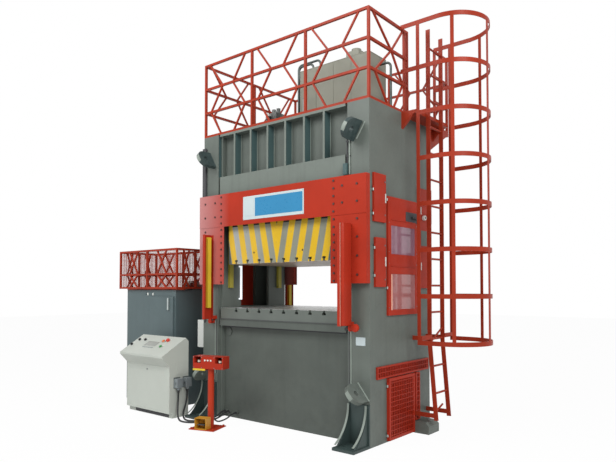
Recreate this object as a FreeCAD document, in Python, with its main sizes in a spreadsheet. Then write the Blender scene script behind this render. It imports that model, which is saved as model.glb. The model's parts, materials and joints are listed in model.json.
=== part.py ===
"""Straight-sided hydraulic press with its power unit, control desk and two-hand pedestal.

Millimetres.  +X is to the right of the operator, +Y runs back through the press and +Z is up.
The origin is on the floor, below the middle of the front face of the press body.
"""
import FreeCAD, Part
import math
import os
import re

import Sketcher

Vector = FreeCAD.Vector
Rotation = FreeCAD.Rotation
Placement = FreeCAD.Placement

X_AXIS = Vector(1, 0, 0)
Y_AXIS = Vector(0, 1, 0)
Z_AXIS = Vector(0, 0, 1)

SIZES = {
    # press body
    "body_half": 1310, "body_depth": 1300, "body_height": 3650, "column_inner": 1000,
    "column_wall": 40, "flange_inner": 1030, "flange_depth": 50,
    "window_front": 385, "window_rear": 925, "window_bottom": 1410, "window_top": 2590,
    # crown
    "crown_height": 800, "crown_floor": 60, "crown_plate": 50, "crown_roof": 30,
    "recess_rise": 240, "recess_depth": 110, "rib_thickness": 26, "rib_pitch": 287.5,
    "rib_count": 6, "notch_height": 126, "notch_width": 12,
    # bed and bolster
    "bed_top": 1261, "bed_top_thickness": 89, "bed_plate": 40, "bed_recess": 100,
    "bed_web_spacing": 560, "plug_radius": 50, "plug_x": 914, "plug_z": 1093, "plug_depth": 12,
    "bolster_half": 985, "bolster_thickness": 139, "bolster_margin": 10,
    # slots for clamping bolts
    "slot_pitch": 200, "slot_count": 8, "slot_throat": 28, "slot_throat_depth": 26,
    "slot_head": 50, "slot_head_depth": 24,
    # slide and its cylinders
    "slide_half": 835, "slide_head_gap": 195, "slide_height": 700, "slide_margin": 10,
    "slide_stroke": 500, "slide_hole_x": 388, "slide_hole_z": 132, "slide_hole_radius": 12.5,
    "slide_hole_depth": 60, "shoe_depth": 110, "shoe_height": 520, "shoe_start": 120,
    "guide_clearance": 0.3, "rod_radius": 120, "rod_spacing": 900, "piston_radius": 150,
    "piston_height": 120, "barrel_wall": 32, "piston_play": 5, "barrel_lid": 45,
    "barrel_gland": 60, "barrel_flange_radius": 250, "barrel_flange": 40,
    "rod_clearance": 0.08, "rod_spare": 40,
    # guide strips on the columns
    "gib_width": 40, "gib_lift": 255, "gib_front": 150, "gib_depth": 60,
    # feet
    "foot_width": 270, "foot_reach": 300, "foot_plate": 30, "foot_back_height": 440,
    "foot_back_plate": 25, "gusset_thickness": 25, "gusset_tip": 40, "gusset_reach": 275,
    "gusset_lip": 25, "gusset_inset": 8, "foot_hole_radius": 16, "foot_hole_y": 190,
    "foot_hole_spacing": 110,
    "block_width": 205, "block_front": 880, "block_depth": 250, "block_height": 130,
    "block_chamfer": 40,
    # lifting lugs
    "lug_width": 232, "lug_eye": 124, "lug_thickness": 45, "lug_hole": 30,
    "lug_upper_inset": 160, "lug_upper_drop": 324, "lug_lower_inset": 107, "lug_lower_z": 558,
    "lug_upper_angle": 60, "lug_lower_angle": 50,
    # small things on the columns
    "trunk_width": 60, "trunk_depth": 30, "trunk_bottom": 1240, "trunk_drop": 150,
    "box_width": 170, "box_front": 45, "box_depth": 205, "box_bottom": 863, "box_top": 1225,
    "box_wall": 3, "lamp_radius": 15, "lamp_bottom": 1500, "lamp_top": 1950, "lamp_y": 357,
    "lamp_gap": 15, "lamp_clip": 20,
    # guards
    "guard_overhang": 5, "guard_front": 70, "guard_sheet": 4, "header_gap": 2,
    "header_height": 416, "plate_inner": 850, "plate_height": 1148, "boss_radius": 20,
    "bolt_drop_1": 103, "bolt_drop_2": 285, "bolt_drop_3": 468,
    "bolt_drop_4": 658, "bolt_drop_5": 858, "bolt_drop_6": 1057, "bolt_x": 1200,
    "bolt_inner_x": 1010, "bolt_edge_x": 895, "bolt_head_radius": 12,
    "bolt_head": 8, "bolt_shank_radius": 6, "bolt_length": 30, "bolt_play": 0.5,
    "edge_strip": 40, "edge_strip_depth": 24, "edge_bolt_margin": 27,
    "edge_bolt_pitch": 83.3, "edge_bolt_count": 14,
    "channel_outer": 1085, "channel_width": 40, "channel_depth": 145, "channel_bottom": 1255,
    "channel_gap": 97, "channel_sheet": 4, "cap_radius": 30, "cap_x": 1110, "cap_z": 1225,
    "curtain_width": 45, "curtain_depth": 50, "curtain_bottom": 1400, "curtain_drop": 35,
    "curtain_inset": 51,
    # plates with nothing on them
    "sign_left": -495, "sign_right": 478, "sign_lift": 55, "sign_height": 286,
    "plate_sheet": 3, "label_left": 1135, "label_right": 1253, "label_bottom": 1048,
    "label_top": 1135,
    # railing on top
    "rail_width": 28, "rail_pitch": 318.3, "rail_inset": 14,
    "rail_front": 14, "rail_rear": 1846, "rail_bays": 3, "rail_count": 4, "brace_width": 20,
    "gate_front": 815, "gate_rear": 1508, "gate_post_gap": 62,
    # ladder and its safety cage
    "ladder_reach": 216, "stile_front": 895, "stile_rear": 1212, "ladder_bottom": 170,
    "ladder_rise": 969, "stile_width": 50, "stile_thickness": 12, "rung_radius": 12,
    "rung_start": 466, "rung_pitch": 303.5, "ladder_knee": 1050,
    "ladder_kick": 75, "cage_radius": 400,
    "cage_reach": 447, "cage_axis_y": 1057, "hoop_start": 1051,
    "hoop_count": 8, "hoop_height": 50, "hoop_thickness": 8, "strap_width": 40,
    "strap_angle": 66, "arm_height": 50, "arm_low": 1080,
    # landings
    "deck_thickness": 40, "deck_rear": 1862, "landing_front": 660, "landing_rear": 1460,
    "landing_reach": 190, "deck_gusset": 300,
    # hydraulics on top
    "tank_left": -100, "tank_right": 950, "tank_front": 550, "tank_rear": 920,
    "tank_height": 770, "tank_wall": 5, "breather_x": 645, "breather_radius": 90,
    "breather_height": 110, "breather_cap_radius": 60, "breather_cap": 40,
    "valve_left": -560, "valve_right": -380, "valve_front": 400, "valve_rear": 600,
    "valve_height": 300, "pipe_radius": 14, "pipe_bend": 60,
    # doors and covers of the right side
    "cover_gap": 0.5, "cover_depth": 25, "cover_sheet": 3, "hinge_radius": 7,
    "hinge_pin": 4, "hinge_play": 0.08, "hinge_length": 26, "hinge_offset": 9,
    "hinge_reach": 18, "hinge_leaf": 5,
    "upper_cover_front": 52, "upper_cover_rear": 284, "upper_cover_bottom": 2352,
    "upper_cover_top": 2868, "upper_hinge_low": 2420, "upper_hinge_high": 2674,
    "lower_cover_front": 76, "lower_cover_rear": 280, "lower_cover_bottom": 1662,
    "lower_cover_top": 2186, "lower_hinge_low": 1770, "lower_hinge_high": 2063,
    "window_door_front": 327, "window_door_rear": 975, "window_door_bottom": 1354,
    "window_door_top": 2650, "window_hinge_low": 1640, "window_hinge_high": 2596,
    "door_frame": 62, "door_bar_bottom": 1942, "door_bar_top": 2021, "pane_thickness": 4,
    "lock_front": 702, "lock_rear": 955, "lock_bottom": 2399, "lock_height": 115,
    "lock_depth": 6, "lever_length": 110, "lever_width": 22, "lever_thickness": 14,
    "lever_gap": 14, "lever_pin": 9, "lever_pin_edge": 40,
    "rear_door_front": 1032, "rear_door_rear": 1239, "rear_door_bottom": 1650,
    "rear_door_top": 2830, "rear_hinge_low": 1800, "rear_hinge_high": 2640,
    "knob_y": 1126, "knob_z": 2486, "knob_radius": 18, "knob_height": 26,
    "strip_front": 112, "strip_rear": 1235, "strip_bottom": 690, "strip_top": 820,
    "strip_frame": 18, "strip_depth": 20,
    "mesh_front": 321, "mesh_rear": 876, "mesh_bottom": 15, "mesh_top": 680,
    "mesh_depth": 35, "mesh_frame": 32, "mesh_low_hinge": 60, "mesh_high_hinge": 586,
    "mesh_wire": 8, "mesh_sheet": 4, "mesh_pitch": 50, "side_mesh_front": 905,
    "side_mesh_rear": 1000, "side_mesh_bottom": 140,
    # power unit
    "unit_left": -3070, "unit_right": -1900, "unit_depth": 1100, "unit_height": 1625,
    "unit_wall": 5, "unit_frame": 40, "unit_door_bottom": 70, "unit_door_margin": 95,
    "unit_door_depth": 25, "unit_door_left": -2470, "unit_door_right": -1930,
    "unit_handle_x": -2018, "unit_handle_drop": 112, "unit_handle_length": 167,
    "unit_handle_width": 30, "unit_handle_depth": 24,
    "unit_eye_left": -2599, "unit_eye_right": -2452, "unit_eye_drop": 59, "unit_eye_radius": 14,
    "unit_eye_depth": 10, "unit_hinge_low": 250, "unit_hinge_drop": 305,
    "guard_frame_left": -3210, "guard_frame_right": -1840, "guard_frame_front": -30,
    "guard_frame_rear": 620, "guard_frame_height": 540, "guard_frame_band": 196,
    "guard_frame_lift": 30,
    "motor_radius": 150, "motor_length": 420, "motor_z": 1010, "motor_x": -2485,
    "pump_radius": 95, "pump_length": 220, "unit_base": 40,
    "manifold_left": -2100, "manifold_width": 170, "manifold_front": 330,
    "manifold_depth": 220, "manifold_height": 60, "solenoid_radius": 26,
    "solenoid_length": 75,
    # control desk
    "desk_left": -2310, "desk_right": -1380, "desk_front": -490, "desk_rear": -190,
    "desk_foot": 60, "desk_plinth": 45, "desk_shelf": 650, "desk_nose_y": -605,
    "desk_nose_low": 770, "desk_nose_high": 795, "desk_crest_y": -235, "desk_slope": 29.6,
    "desk_back_z": 960, "desk_wall": 4, "desk_mitre": 2.4,
    "button_radius": 20, "button_stem": 11, "button_rise": 14, "button_travel": 6,
    "button_play": 0.6, "stem_below": 22, "estop_radius": 26, "estop_rise": 26,
    "desk_knob_radius": 17, "desk_knob_rise": 24,
    "button_collar": 8,
    "display_left": -2021, "display_right": -1739, "display_low": 169, "display_high": 298,
    "display_frame": 14, "estop_x": -1619, "estop_along": 318, "push_orange_x": -1699,
    "push_orange_along": 301, "push_green_x": -1625, "push_green_along": 185,
    "knob_left_x": -2264, "knob_left_along": 177, "knob_middle_x": -2228,
    "knob_middle_along": 294, "knob_right_x": -2103, "knob_right_along": 302,
    "side_plate_front": -381, "side_plate_rear": -284, "side_plate_bottom": 549,
    "side_plate_top": 695,
    # heavy connectors on the desk
    "plug_front_y": -376, "plug_rear_y": -234, "plug_width": 88, "plug_length": 70,
    "plug_low": 355, "plug_high": 500, "plug_neck": 30, "cable_radius": 11,
    "gland_radius": 20, "gland_length": 30, "gland_z": 70,
    # two-hand pedestal, turned on the floor
    "pedestal_x": -663, "pedestal_y": -478, "pedestal_turn": 18, "base_width": 335,
    "base_length": 294, "base_thickness": 10, "base_stud": 12, "base_stud_rise": 14,
    "post_radius": 37, "post_offset_x": 32, "post_offset_y": 20, "head_width": 405,
    "head_depth": 150, "head_bottom": 700, "head_top": 845, "head_wall": 3,
    "palm_spacing": 285, "palm_radius": 24, "palm_rise": 22, "palm_hood": 46,
    "head_shelf": 68, "head_tray_depth": 18, "tray_drop": 34, "hose_x": -38, "hose_y": 60,
    "hose_gland": 24, "hose_gland_radius": 16, "hose_radius": 9,
    # foot pedal
    "pedal_width": 150, "pedal_depth": 112, "pedal_height": 130, "pedal_wall": 4,
    "pedal_offset_x": -12, "pedal_offset_y": -90, "treadle_length": 84, "treadle_width": 96,
    "treadle_thickness": 8, "treadle_rise": 42, "treadle_pin": 5, "treadle_tilt": 8,
}

# Places that follow from the sizes.
DERIVED = {
    "foot_inner": "body_half - foot_width",
    "lug_upper_x": "body_half - lug_upper_inset", "lug_lower_x": "body_half - lug_lower_inset",
    "guard_half": "body_half + guard_overhang",
    "rail_half": "body_half - rail_inset", "rail_bay": "2 * (body_half - rail_inset) / rail_bays",
    "ladder_x": "body_half + ladder_reach", "cage_axis_x": "body_half + cage_reach",
    # the crown hangs from the top, and the slide and the front guards from the crown
    "crown_bottom": "body_height - crown_height", "recess_bottom": "crown_bottom + recess_rise",
    "slide_bottom": "crown_bottom - slide_head_gap - slide_height",
    "barrel_top": "crown_bottom + slide_stroke + rod_spare + piston_height + piston_play"
                  " + barrel_lid",
    "gib_bottom": "bed_top + bolster_thickness + gib_lift", "gib_top": "crown_bottom",
    "header_top": "crown_bottom - header_gap", "header_bottom": "header_top - header_height",
    "plate_bottom": "header_top - plate_height", "bolt_row_1": "header_top - bolt_drop_1",
    "bolt_row_2": "header_top - bolt_drop_2", "bolt_row_3": "header_top - bolt_drop_3",
    "bolt_row_4": "header_top - bolt_drop_4", "bolt_row_5": "header_top - bolt_drop_5",
    "bolt_row_6": "header_top - bolt_drop_6",
    "edge_bolt_start": "plate_bottom + edge_bolt_margin",
    "channel_top": "header_bottom - channel_gap", "curtain_top": "channel_top - curtain_drop",
    "sign_bottom": "header_bottom + sign_lift", "sign_top": "sign_bottom + sign_height",
    "lug_upper_z": "body_height - lug_upper_drop", "trunk_top": "body_height - trunk_drop",
    # what stands on the crown, and the ladder that reaches it
    "tank_top": "body_height + tank_height", "valve_top": "body_height + valve_height",
    "rail_low": "body_height + rail_width / 2", "ladder_top": "body_height + ladder_rise",
    "rung_count": "floor((ladder_top - rung_start) / rung_pitch) + 1",
    "hoop_pitch": "(rail_low + (rail_count - 1) * rail_pitch - hoop_start) / (hoop_count - 1)",
    "lock_top": "lock_bottom + lock_height",
    # the top of the power unit carries its mesh guard
    "unit_door_top": "unit_height - unit_door_margin",
    "unit_handle_high": "unit_height - unit_handle_drop",
    "unit_handle_low": "unit_handle_high - unit_handle_length",
    "unit_eye_z": "unit_height - unit_eye_drop",
    "unit_hinge_high": "unit_height - unit_hinge_drop",
    "guard_frame_low": "unit_height + guard_frame_lift",
    "guard_frame_middle": "guard_frame_low + guard_frame_band",
    "guard_frame_top": "guard_frame_low + guard_frame_height",
}

# Shares of a length at which repeated things stand.
PORT_SHARES = ("0.28", "0.72")
SEAT_SHARES = (0.20, 0.93)
KNOT_SHARE = 0.34
BRACE_SHARES = [((0.10, 0.86), (0.38, 0.60)), ((0.38, 0.60), (0.12, 0.86)),
                ((0.12, 0.86), (0.35, 0.62))]
GATE_SHARES = [((0.06, 0.97), (0.60, 0.60)), ((0.60, 0.60), (0.95, 0.12)),
               ((0.12, 0.95), (0.50, 0.66))]
ARC_SHARE = 0.45

doc = FreeCAD.newDocument("hydraulic_press")
sheet = doc.addObject("Spreadsheet::Sheet", "dims")
cells = {word: str(number) for word, number in SIZES.items()}
cells.update((word, "=" + text) for word, text in DERIVED.items())
for row, (word, content) in enumerate(cells.items(), start=1):
    sheet.set("A%d" % row, word)
    sheet.set("B%d" % row, content)
    sheet.setAlias("B%d" % row, word)
doc.recompute()


def size(word):
    """Value of one cell of the sheet."""
    return float(sheet.get(word))


def count(word):
    """Value of one cell that holds a number of copies."""
    return int(sheet.get(word))


def formula(text):
    """Expression over the sheet, from one written with its words."""
    def point(word):
        return "dims." + word.group() if word.group() in cells else word.group()
    return re.sub(r"[a-z][a-z_0-9]*", point, text)


def bind(thing, **properties):
    """Bind properties to expressions; base_x and its like stand for the place."""
    for name, text in properties.items():
        path = name.replace("base_", "Placement.Base.").replace("turn", "Placement.Rotation.Angle")
        thing.setExpression(path, formula(text))
    return thing


def block(name, x, y, z):
    """Box between two expressions along each axis."""
    box = doc.addObject("Part::Box", name)
    bind(box, Length="(%s) - (%s)" % (x[1], x[0]), Width="(%s) - (%s)" % (y[1], y[0]),
         Height="(%s) - (%s)" % (z[1], z[0]), base_x=x[0], base_y=y[0], base_z=z[0])
    return box


ROD_TURNS = {"x": Rotation(Y_AXIS, 90), "y": Rotation(X_AXIS, -90), "z": Rotation()}


def rod(name, axis, place, length, radius):
    """Cylinder from a place along one axis."""
    cylinder = doc.addObject("Part::Cylinder", name)
    cylinder.Placement = Placement(Vector(), ROD_TURNS[axis])
    bind(cylinder, Radius=radius, Height=length, base_x=place[0], base_y=place[1], base_z=place[2])
    return cylinder


def fuse(name, pieces):
    """One solid from pieces that share material."""
    whole = doc.addObject("Part::MultiFuse", name)
    whole.Shapes = pieces
    whole.Refine = True
    return whole


def cut(name, base, tools):
    """Base with the tools taken out of it."""
    if len(tools) == 1:
        tool = tools[0]
    else:
        tool = fuse(name + "_tools", tools)
    result = doc.addObject("Part::Cut", name)
    result.Base = base
    result.Tool = tool
    return result


def group(name, pieces):
    """Separate solids that share a node."""
    together = doc.addObject("Part::Compound", name)
    together.Links = pieces
    return together


def mirror(name, source, axis, at="0"):
    """Copy on the other side of a plane across the axis."""
    copy = doc.addObject("Part::Mirroring", name)
    copy.Source = source
    copy.Normal = {"x": X_AXIS, "y": Y_AXIS}[axis]
    copy.setExpression("Base." + axis, formula(at))
    return copy


ORIGIN_PLANES = {"xy": "XY_Plane", "xz": "XZ_Plane", "yz": "YZ_Plane"}
ORIGIN_POINT = -1


def outline(body, name, plane, points):
    """Closed sketch through points, each held by two dimensions from the origin."""
    sketch = body.newObject("Sketcher::SketchObject", name)
    plane_object = [f for f in body.Origin.OriginFeatures if f.Role == ORIGIN_PLANES[plane]][0]
    sketch.AttachmentSupport = [(plane_object, "")]
    sketch.MapMode = "FlatFace"
    places = []
    for across, up in points:
        places.append(Vector(evaluate(across), evaluate(up), 0))
    for index, start in enumerate(places):
        sketch.addGeometry(Part.LineSegment(start, places[(index + 1) % len(places)]), False)
    for index in range(len(places)):
        following = (index + 1) % len(places)
        sketch.addConstraint(Sketcher.Constraint("Coincident", index, 2, following, 1))
    for index, (across, up) in enumerate(points):
        for kind, text in (("DistanceX", across), ("DistanceY", up)):
            number = sketch.addConstraint(
                Sketcher.Constraint(kind, ORIGIN_POINT, 1, index, 1, evaluate(text)))
            sketch.setExpression("Constraints[%d]" % number, formula(text))
    return sketch


def evaluate(text):
    """Number that an expression of the sheet's words gives now."""
    return float(sheet.evalExpression(formula(text)))


def prism(name, plane, points, length, start=None):
    """Outline padded along its plane's normal, from an optional start along it."""
    body = doc.addObject("PartDesign::Body", name)
    sketch = outline(body, name + "_outline", plane, points)
    pad = body.newObject("PartDesign::Pad", name + "_pad")
    pad.Profile = sketch
    pad.setExpression("Length", formula(length))
    if start is not None:
        bind(body, **{{"xy": "base_z", "xz": "base_y", "yz": "base_x"}[plane]: start})
    return body


def beam(start, end, width, depth, normal):
    """Bar between two points; its depth lies along the normal of the frame it is in."""
    along = end - start
    length = along.Length
    along.normalize()
    across = Vector(normal).cross(along)
    matrix = FreeCAD.Matrix(
        along.x, across.x, normal.x, start.x,
        along.y, across.y, normal.y, start.y,
        along.z, across.z, normal.z, start.z, 0, 0, 0, 1)
    bar = Part.makeBox(length, width, depth, Vector(0, -width / 2, -depth / 2))
    bar.Placement = Placement(matrix).multiply(bar.Placement)
    return bar


def weld(bars):
    """One solid from bars that meet."""
    return bars[0].multiFuse(bars[1:]).removeSplitter()


def feature(name, shape):
    """Sub-part whose shape is made from the sheet's values."""
    thing = doc.addObject("Part::Feature", name)
    thing.Shape = shape
    thing.Placement = Placement(Vector(), Rotation())
    return thing


# ---------------------------------------------------------------- press body
def make_uprights():
    """Welded box columns with a window through each side."""
    shell = block("upright_shell", ("column_inner", "body_half"), ("0", "body_depth"),
                  ("0", "body_height"))
    cavity = block("upright_cavity", ("column_inner + column_wall", "body_half - column_wall"),
                   ("flange_depth", "body_depth - flange_depth"),
                   ("column_wall", "body_height - column_wall"))
    window = block("upright_window", ("column_inner - column_wall", "body_half + column_wall"),
                   ("window_front", "window_rear"), ("window_bottom", "window_top"))
    front = block("upright_rebate", ("column_inner", "flange_inner"), ("0", "flange_depth"),
                  ("0", "body_height"))
    rear = block("upright_rebate_rear", ("column_inner", "flange_inner"),
                 ("body_depth - flange_depth", "body_depth"), ("0", "body_height"))
    right = cut("upright_right", shell, [cavity, window, front, rear])
    return [right, mirror("upright_left", right, "x")]


def make_crown():
    """Hollow crown with ribs in front of a set back plate, bored for the cylinders."""
    inner = ("-column_inner", "column_inner")
    floor = block("crown_floor_plate", inner, ("0", "body_depth"),
                  ("crown_bottom", "crown_bottom + crown_floor"))
    band = block("crown_band", inner, ("0", "crown_plate"), ("crown_bottom", "recess_bottom"))
    shelf = block("crown_shelf", inner, ("0", "recess_depth + crown_roof"),
                  ("recess_bottom - crown_roof", "recess_bottom"))
    back = block("crown_back", inner, ("recess_depth", "recess_depth + crown_roof"),
                 ("recess_bottom - crown_roof", "body_height"))
    roof = block("crown_roof_plate", inner, ("0", "body_depth"),
                 ("body_height - crown_roof", "body_height"))
    front = [band, shelf, back]
    for index in range(count("rib_count")):
        edge = "rib_pitch * %s" % (index - count("rib_count") / 2 + 0.5)
        front.append(block("crown_rib_%d" % index, (edge + " - rib_thickness", edge),
                           ("0", "recess_depth"), ("recess_bottom", "body_height")))
    face = fuse("crown_face", front)
    rear = mirror("crown_rear", face, "y", "body_depth / 2")
    whole = fuse("crown_weldment", [floor, face, rear, roof])
    bores = []
    for side in ("-", ""):
        bores.append(rod("crown_bore" + side.replace("-", "_left"), "z",
                         (side + "rod_spacing / 2", "body_depth / 2", "crown_bottom"),
                         "crown_floor", "piston_radius + barrel_wall"))
    notch = block("crown_notch", ("column_inner - notch_width", "column_inner"),
                  ("0", "crown_plate"),
                  ("recess_bottom - 2 * notch_height", "recess_bottom - notch_height"))
    return cut("crown", whole, bores + [notch])


def make_bed():
    """Bed weldment under the bolster, its front plate set back between the columns."""
    inner = ("-column_inner", "column_inner")
    below = ("0", "bed_top - bed_top_thickness")
    plates = [
        block("bed_top_plate", inner, ("slide_margin", "body_depth - slide_margin"),
              ("bed_top - bed_top_thickness", "bed_top")),
        block("bed_front", inner, ("bed_recess", "bed_recess + bed_plate"), below),
        block("bed_rear", inner, ("body_depth - bed_recess - bed_plate", "body_depth - bed_recess"),
              below),
    ]
    for index, factor in enumerate(("-1", "0", "1")):
        middle = "bed_web_spacing * %s" % factor
        plates.append(block("bed_web_%d" % index,
                            (middle + " - bed_plate / 2", middle + " + bed_plate / 2"),
                            ("bed_recess", "body_depth - bed_recess"), below))
    plates.append(rod("bed_plug", "y", ("-plug_x", "bed_recess - plug_depth", "plug_z"),
                      "plug_depth", "plug_radius"))
    for index, (x, z) in enumerate(CABLE_GLANDS):
        plates.append(rod("bed_gland_%d" % index, "y",
                          (x, "bed_recess - gland_length", z), "gland_length", "gland_radius"))
    return fuse("bed", plates)


CABLE_GLANDS = [("-960", "gland_z"), ("-895", "gland_z"), ("-760", "gland_z")]


def slot_tools(name, face, direction, depth):
    """Throat and head of each clamping slot, sunk into a face."""
    tools = []
    for index in range(count("slot_count")):
        middle = "slot_pitch * %s" % (index - count("slot_count") / 2 + 0.5)
        levels = (("throat", "slot_throat", "0", "slot_throat_depth"),
                  ("head", "slot_head", "slot_throat_depth", "slot_throat_depth + slot_head_depth"))
        for part, width, near, far in levels:
            if direction < 0:
                z = ("%s - (%s)" % (face, far), "%s - (%s)" % (face, near))
            else:
                z = ("%s + (%s)" % (face, near), "%s + (%s)" % (face, far))
            across = ("%s - %s / 2" % (middle, width), "%s + %s / 2" % (middle, width))
            tools.append(block("%s_%s_%d" % (name, part, index), across, ("0", depth), z))
    return tools


def make_bolster():
    """Loose bolster plate with clamping slots from front to back."""
    plate = block("bolster_blank", ("-bolster_half", "bolster_half"),
                  ("bolster_margin", "body_depth - bolster_margin"),
                  ("bed_top", "bed_top + bolster_thickness"))
    return cut("bolster_plate", plate,
               slot_tools("bolster_slot", "bed_top + bolster_thickness", -1, "body_depth"))


def make_slide():
    """Slide with clamping slots below and guide shoes that bear on the column strips."""
    body = block("slide_block", ("-slide_half", "slide_half"),
                 ("slide_margin", "body_depth - slide_margin"),
                 ("slide_bottom", "slide_bottom + slide_height"))
    shoe_z = ("slide_bottom + shoe_start", "slide_bottom + shoe_start + shoe_height")
    shoe_y = "gib_front + gib_depth + guide_clearance"
    shoes = [
        block("slide_shoe", ("slide_half", "column_inner - guide_clearance"),
              (shoe_y, shoe_y + " + shoe_depth"), shoe_z),
        block("slide_shoe_left", ("guide_clearance - column_inner", "-slide_half"),
              (shoe_y, shoe_y + " + shoe_depth"), shoe_z),
    ]
    for shoe in list(shoes):
        shoes.append(mirror(shoe.Name + "_rear", shoe, "y", "body_depth / 2"))
    blank = fuse("slide_blank", [body] + shoes)
    holes = []
    for side in ("-", ""):
        holes.append(rod("slide_hole" + side.replace("-", "_left"), "y",
                         (side + "slide_hole_x", "0", "slide_bottom + slide_hole_z"),
                         "slide_hole_depth", "slide_hole_radius"))
    return cut("ram_slide", blank,
               slot_tools("slide_slot", "slide_bottom", 1, "body_depth") + holes)


def make_rods():
    """Piston rods bolted on the slide, each one forging with its piston."""
    rods = []
    for side in ("-", ""):
        place = side.replace("-", "_left")
        stem = rod("ram_stem" + place, "z",
                   (side + "rod_spacing / 2", "body_depth / 2", "slide_bottom + slide_height"),
                   "crown_bottom - slide_bottom - slide_height + slide_stroke + rod_spare"
                   " + piston_height", "rod_radius")
        piston = rod("ram_piston" + place, "z",
                     (side + "rod_spacing / 2", "body_depth / 2",
                      "crown_bottom + slide_stroke + rod_spare"),
                     "piston_height", "piston_radius")
        rods.append(fuse("ram_rod" + place, [stem, piston]))
    return group("ram_rods", rods)


def make_barrels():
    """Cylinder barrels fixed in the crown, with a gland at the foot and a lid."""
    barrels = []
    for side in ("-", ""):
        place = side.replace("-", "_left")
        centre = (side + "rod_spacing / 2", "body_depth / 2")
        tube = rod("barrel_tube" + place, "z", centre + ("crown_bottom",),
                   "barrel_top - crown_bottom", "piston_radius + barrel_wall")
        flange = rod("barrel_foot" + place, "z", centre + ("crown_bottom - barrel_flange",),
                     "barrel_flange", "barrel_flange_radius")
        bore = rod("barrel_bore" + place, "z", centre + ("crown_bottom + rod_spare - guide_clearance",),
                   "barrel_top - barrel_lid - crown_bottom - rod_spare + guide_clearance",
                   "piston_radius + rod_clearance")
        gland = rod("barrel_gland" + place, "z", centre + ("crown_bottom - barrel_flange",),
                    "barrel_gland + barrel_flange", "rod_radius + rod_clearance")
        barrels.append(cut("barrel" + place, fuse("barrel_blank" + place, [tube, flange]),
                           [bore, gland]))
    return group("cylinder_barrels", barrels)


def make_gibs():
    """Guide strips screwed on the inner column faces."""
    strip = block("gib_strip", ("column_inner - gib_width", "column_inner"),
                  ("gib_front", "gib_front + gib_depth"), ("gib_bottom", "gib_top"))
    left = mirror("gib_strip_left", strip, "x")
    strips = [strip, left]
    for piece in list(strips):
        strips.append(mirror(piece.Name + "_rear", piece, "y", "body_depth / 2"))
    return group("gib_rails", strips)


def make_front_feet():
    """Gusseted anchor feet in front of the columns."""
    base = block("foot_base", ("foot_inner", "body_half"), ("-foot_reach", "0"),
                 ("0", "foot_plate"))
    back = block("foot_back", ("foot_inner", "body_half"), ("-foot_back_plate", "0"),
                 ("0", "foot_back_height"))
    lip = "foot_plate + gusset_lip"
    rise = "(foot_back_height - %s)" % lip
    sweep = ("((gusset_reach * gusset_reach + %s * %s - gusset_tip * gusset_tip)"
             " / (2 * (gusset_reach - gusset_tip)))" % (rise, rise))
    pieces = [base, back]
    for index, start in enumerate(("foot_inner + gusset_inset",
                                   "body_half - gusset_inset - gusset_thickness - gusset_inset")):
        web = block("foot_web_%d" % index, (start, start + " + gusset_thickness"),
                    ("-gusset_reach", "0"), ("foot_plate", "foot_back_height"))
        hollow = rod("foot_hollow_%d" % index, "x",
                     (start, "-" + sweep, "foot_back_height"), "gusset_thickness",
                     sweep + " - gusset_tip")
        pieces.append(cut("foot_gusset_%d" % index, web, [hollow]))
    blank = fuse("foot_blank", pieces)
    holes = []
    middle = "(foot_inner + body_half) / 2"
    for index, side in enumerate(("-", "+")):
        holes.append(rod("foot_hole_%d" % index, "z",
                         ("%s %s foot_hole_spacing / 2" % (middle, side), "-foot_hole_y", "0"),
                         "foot_plate", "foot_hole_radius"))
    right = cut("foot_right", blank, holes)
    return group("anchor_feet", [right, mirror("foot_left", right, "x")])


def make_rear_feet():
    """Solid foot blocks beside the columns, bevelled on the outer top edge."""
    outer = "body_half + block_width"
    right = prism("rear_foot", "xz", [
        ("body_half", "0"), (outer, "0"), (outer, "block_height - block_chamfer"),
        (outer + " - block_chamfer", "block_height"), ("body_half", "block_height"),
    ], "block_depth", "block_front + block_depth")
    return group("rear_feet", [right, mirror("rear_foot_left", right, "x")])


def make_lugs():
    """Lifting lugs that stand out of the front face, two above and two below."""
    lugs = []
    for level in ("upper", "lower"):
        plate = block("lug_plate_" + level, ("-lug_width / 2", "lug_width / 2"), ("-lug_eye", "0"),
                      ("-lug_thickness / 2", "lug_thickness / 2"))
        nose = rod("lug_nose_" + level, "z", ("0", "-lug_eye", "-lug_thickness / 2"),
                   "lug_thickness", "lug_width / 2")
        eye = rod("lug_eye_" + level, "z", ("0", "-lug_eye", "-lug_thickness / 2"),
                  "lug_thickness", "lug_hole")
        lug = cut("lug_" + level, fuse("lug_blank_" + level, [plate, nose]), [eye])
        lug.Placement = Placement(Vector(), Rotation(Y_AXIS, 1))
        turn = {"upper": "-lug_upper_angle", "lower": "lug_lower_angle"}[level]
        bind(lug, base_x="lug_%s_x" % level, base_z="lug_%s_z" % level, turn=turn)
        lugs.append(lug)
        lugs.append(mirror("lug_left_" + level, lug, "x"))
    return group("lifting_lugs", lugs)


def make_trunking():
    """Narrow cable trunking down the left edge of the front face."""
    return block("cable_trunking", ("-body_half", "trunk_width - body_half"), ("-trunk_depth", "0"),
                 ("trunk_bottom", "trunk_top"))


def make_junction_box():
    """Sheet box on the left side of the left column."""
    outer = ("-body_half - box_width", "-body_half")
    shell = block("junction_shell", outer, ("box_front", "box_front + box_depth"),
                  ("box_bottom", "box_top"))
    hollow = block("junction_hollow", (outer[0] + " + box_wall", outer[1] + " - box_wall"),
                   ("box_front + box_wall", "box_front + box_depth - box_wall"),
                   ("box_bottom + box_wall", "box_top - box_wall"))
    return cut("junction_box", shell, [hollow])


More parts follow.
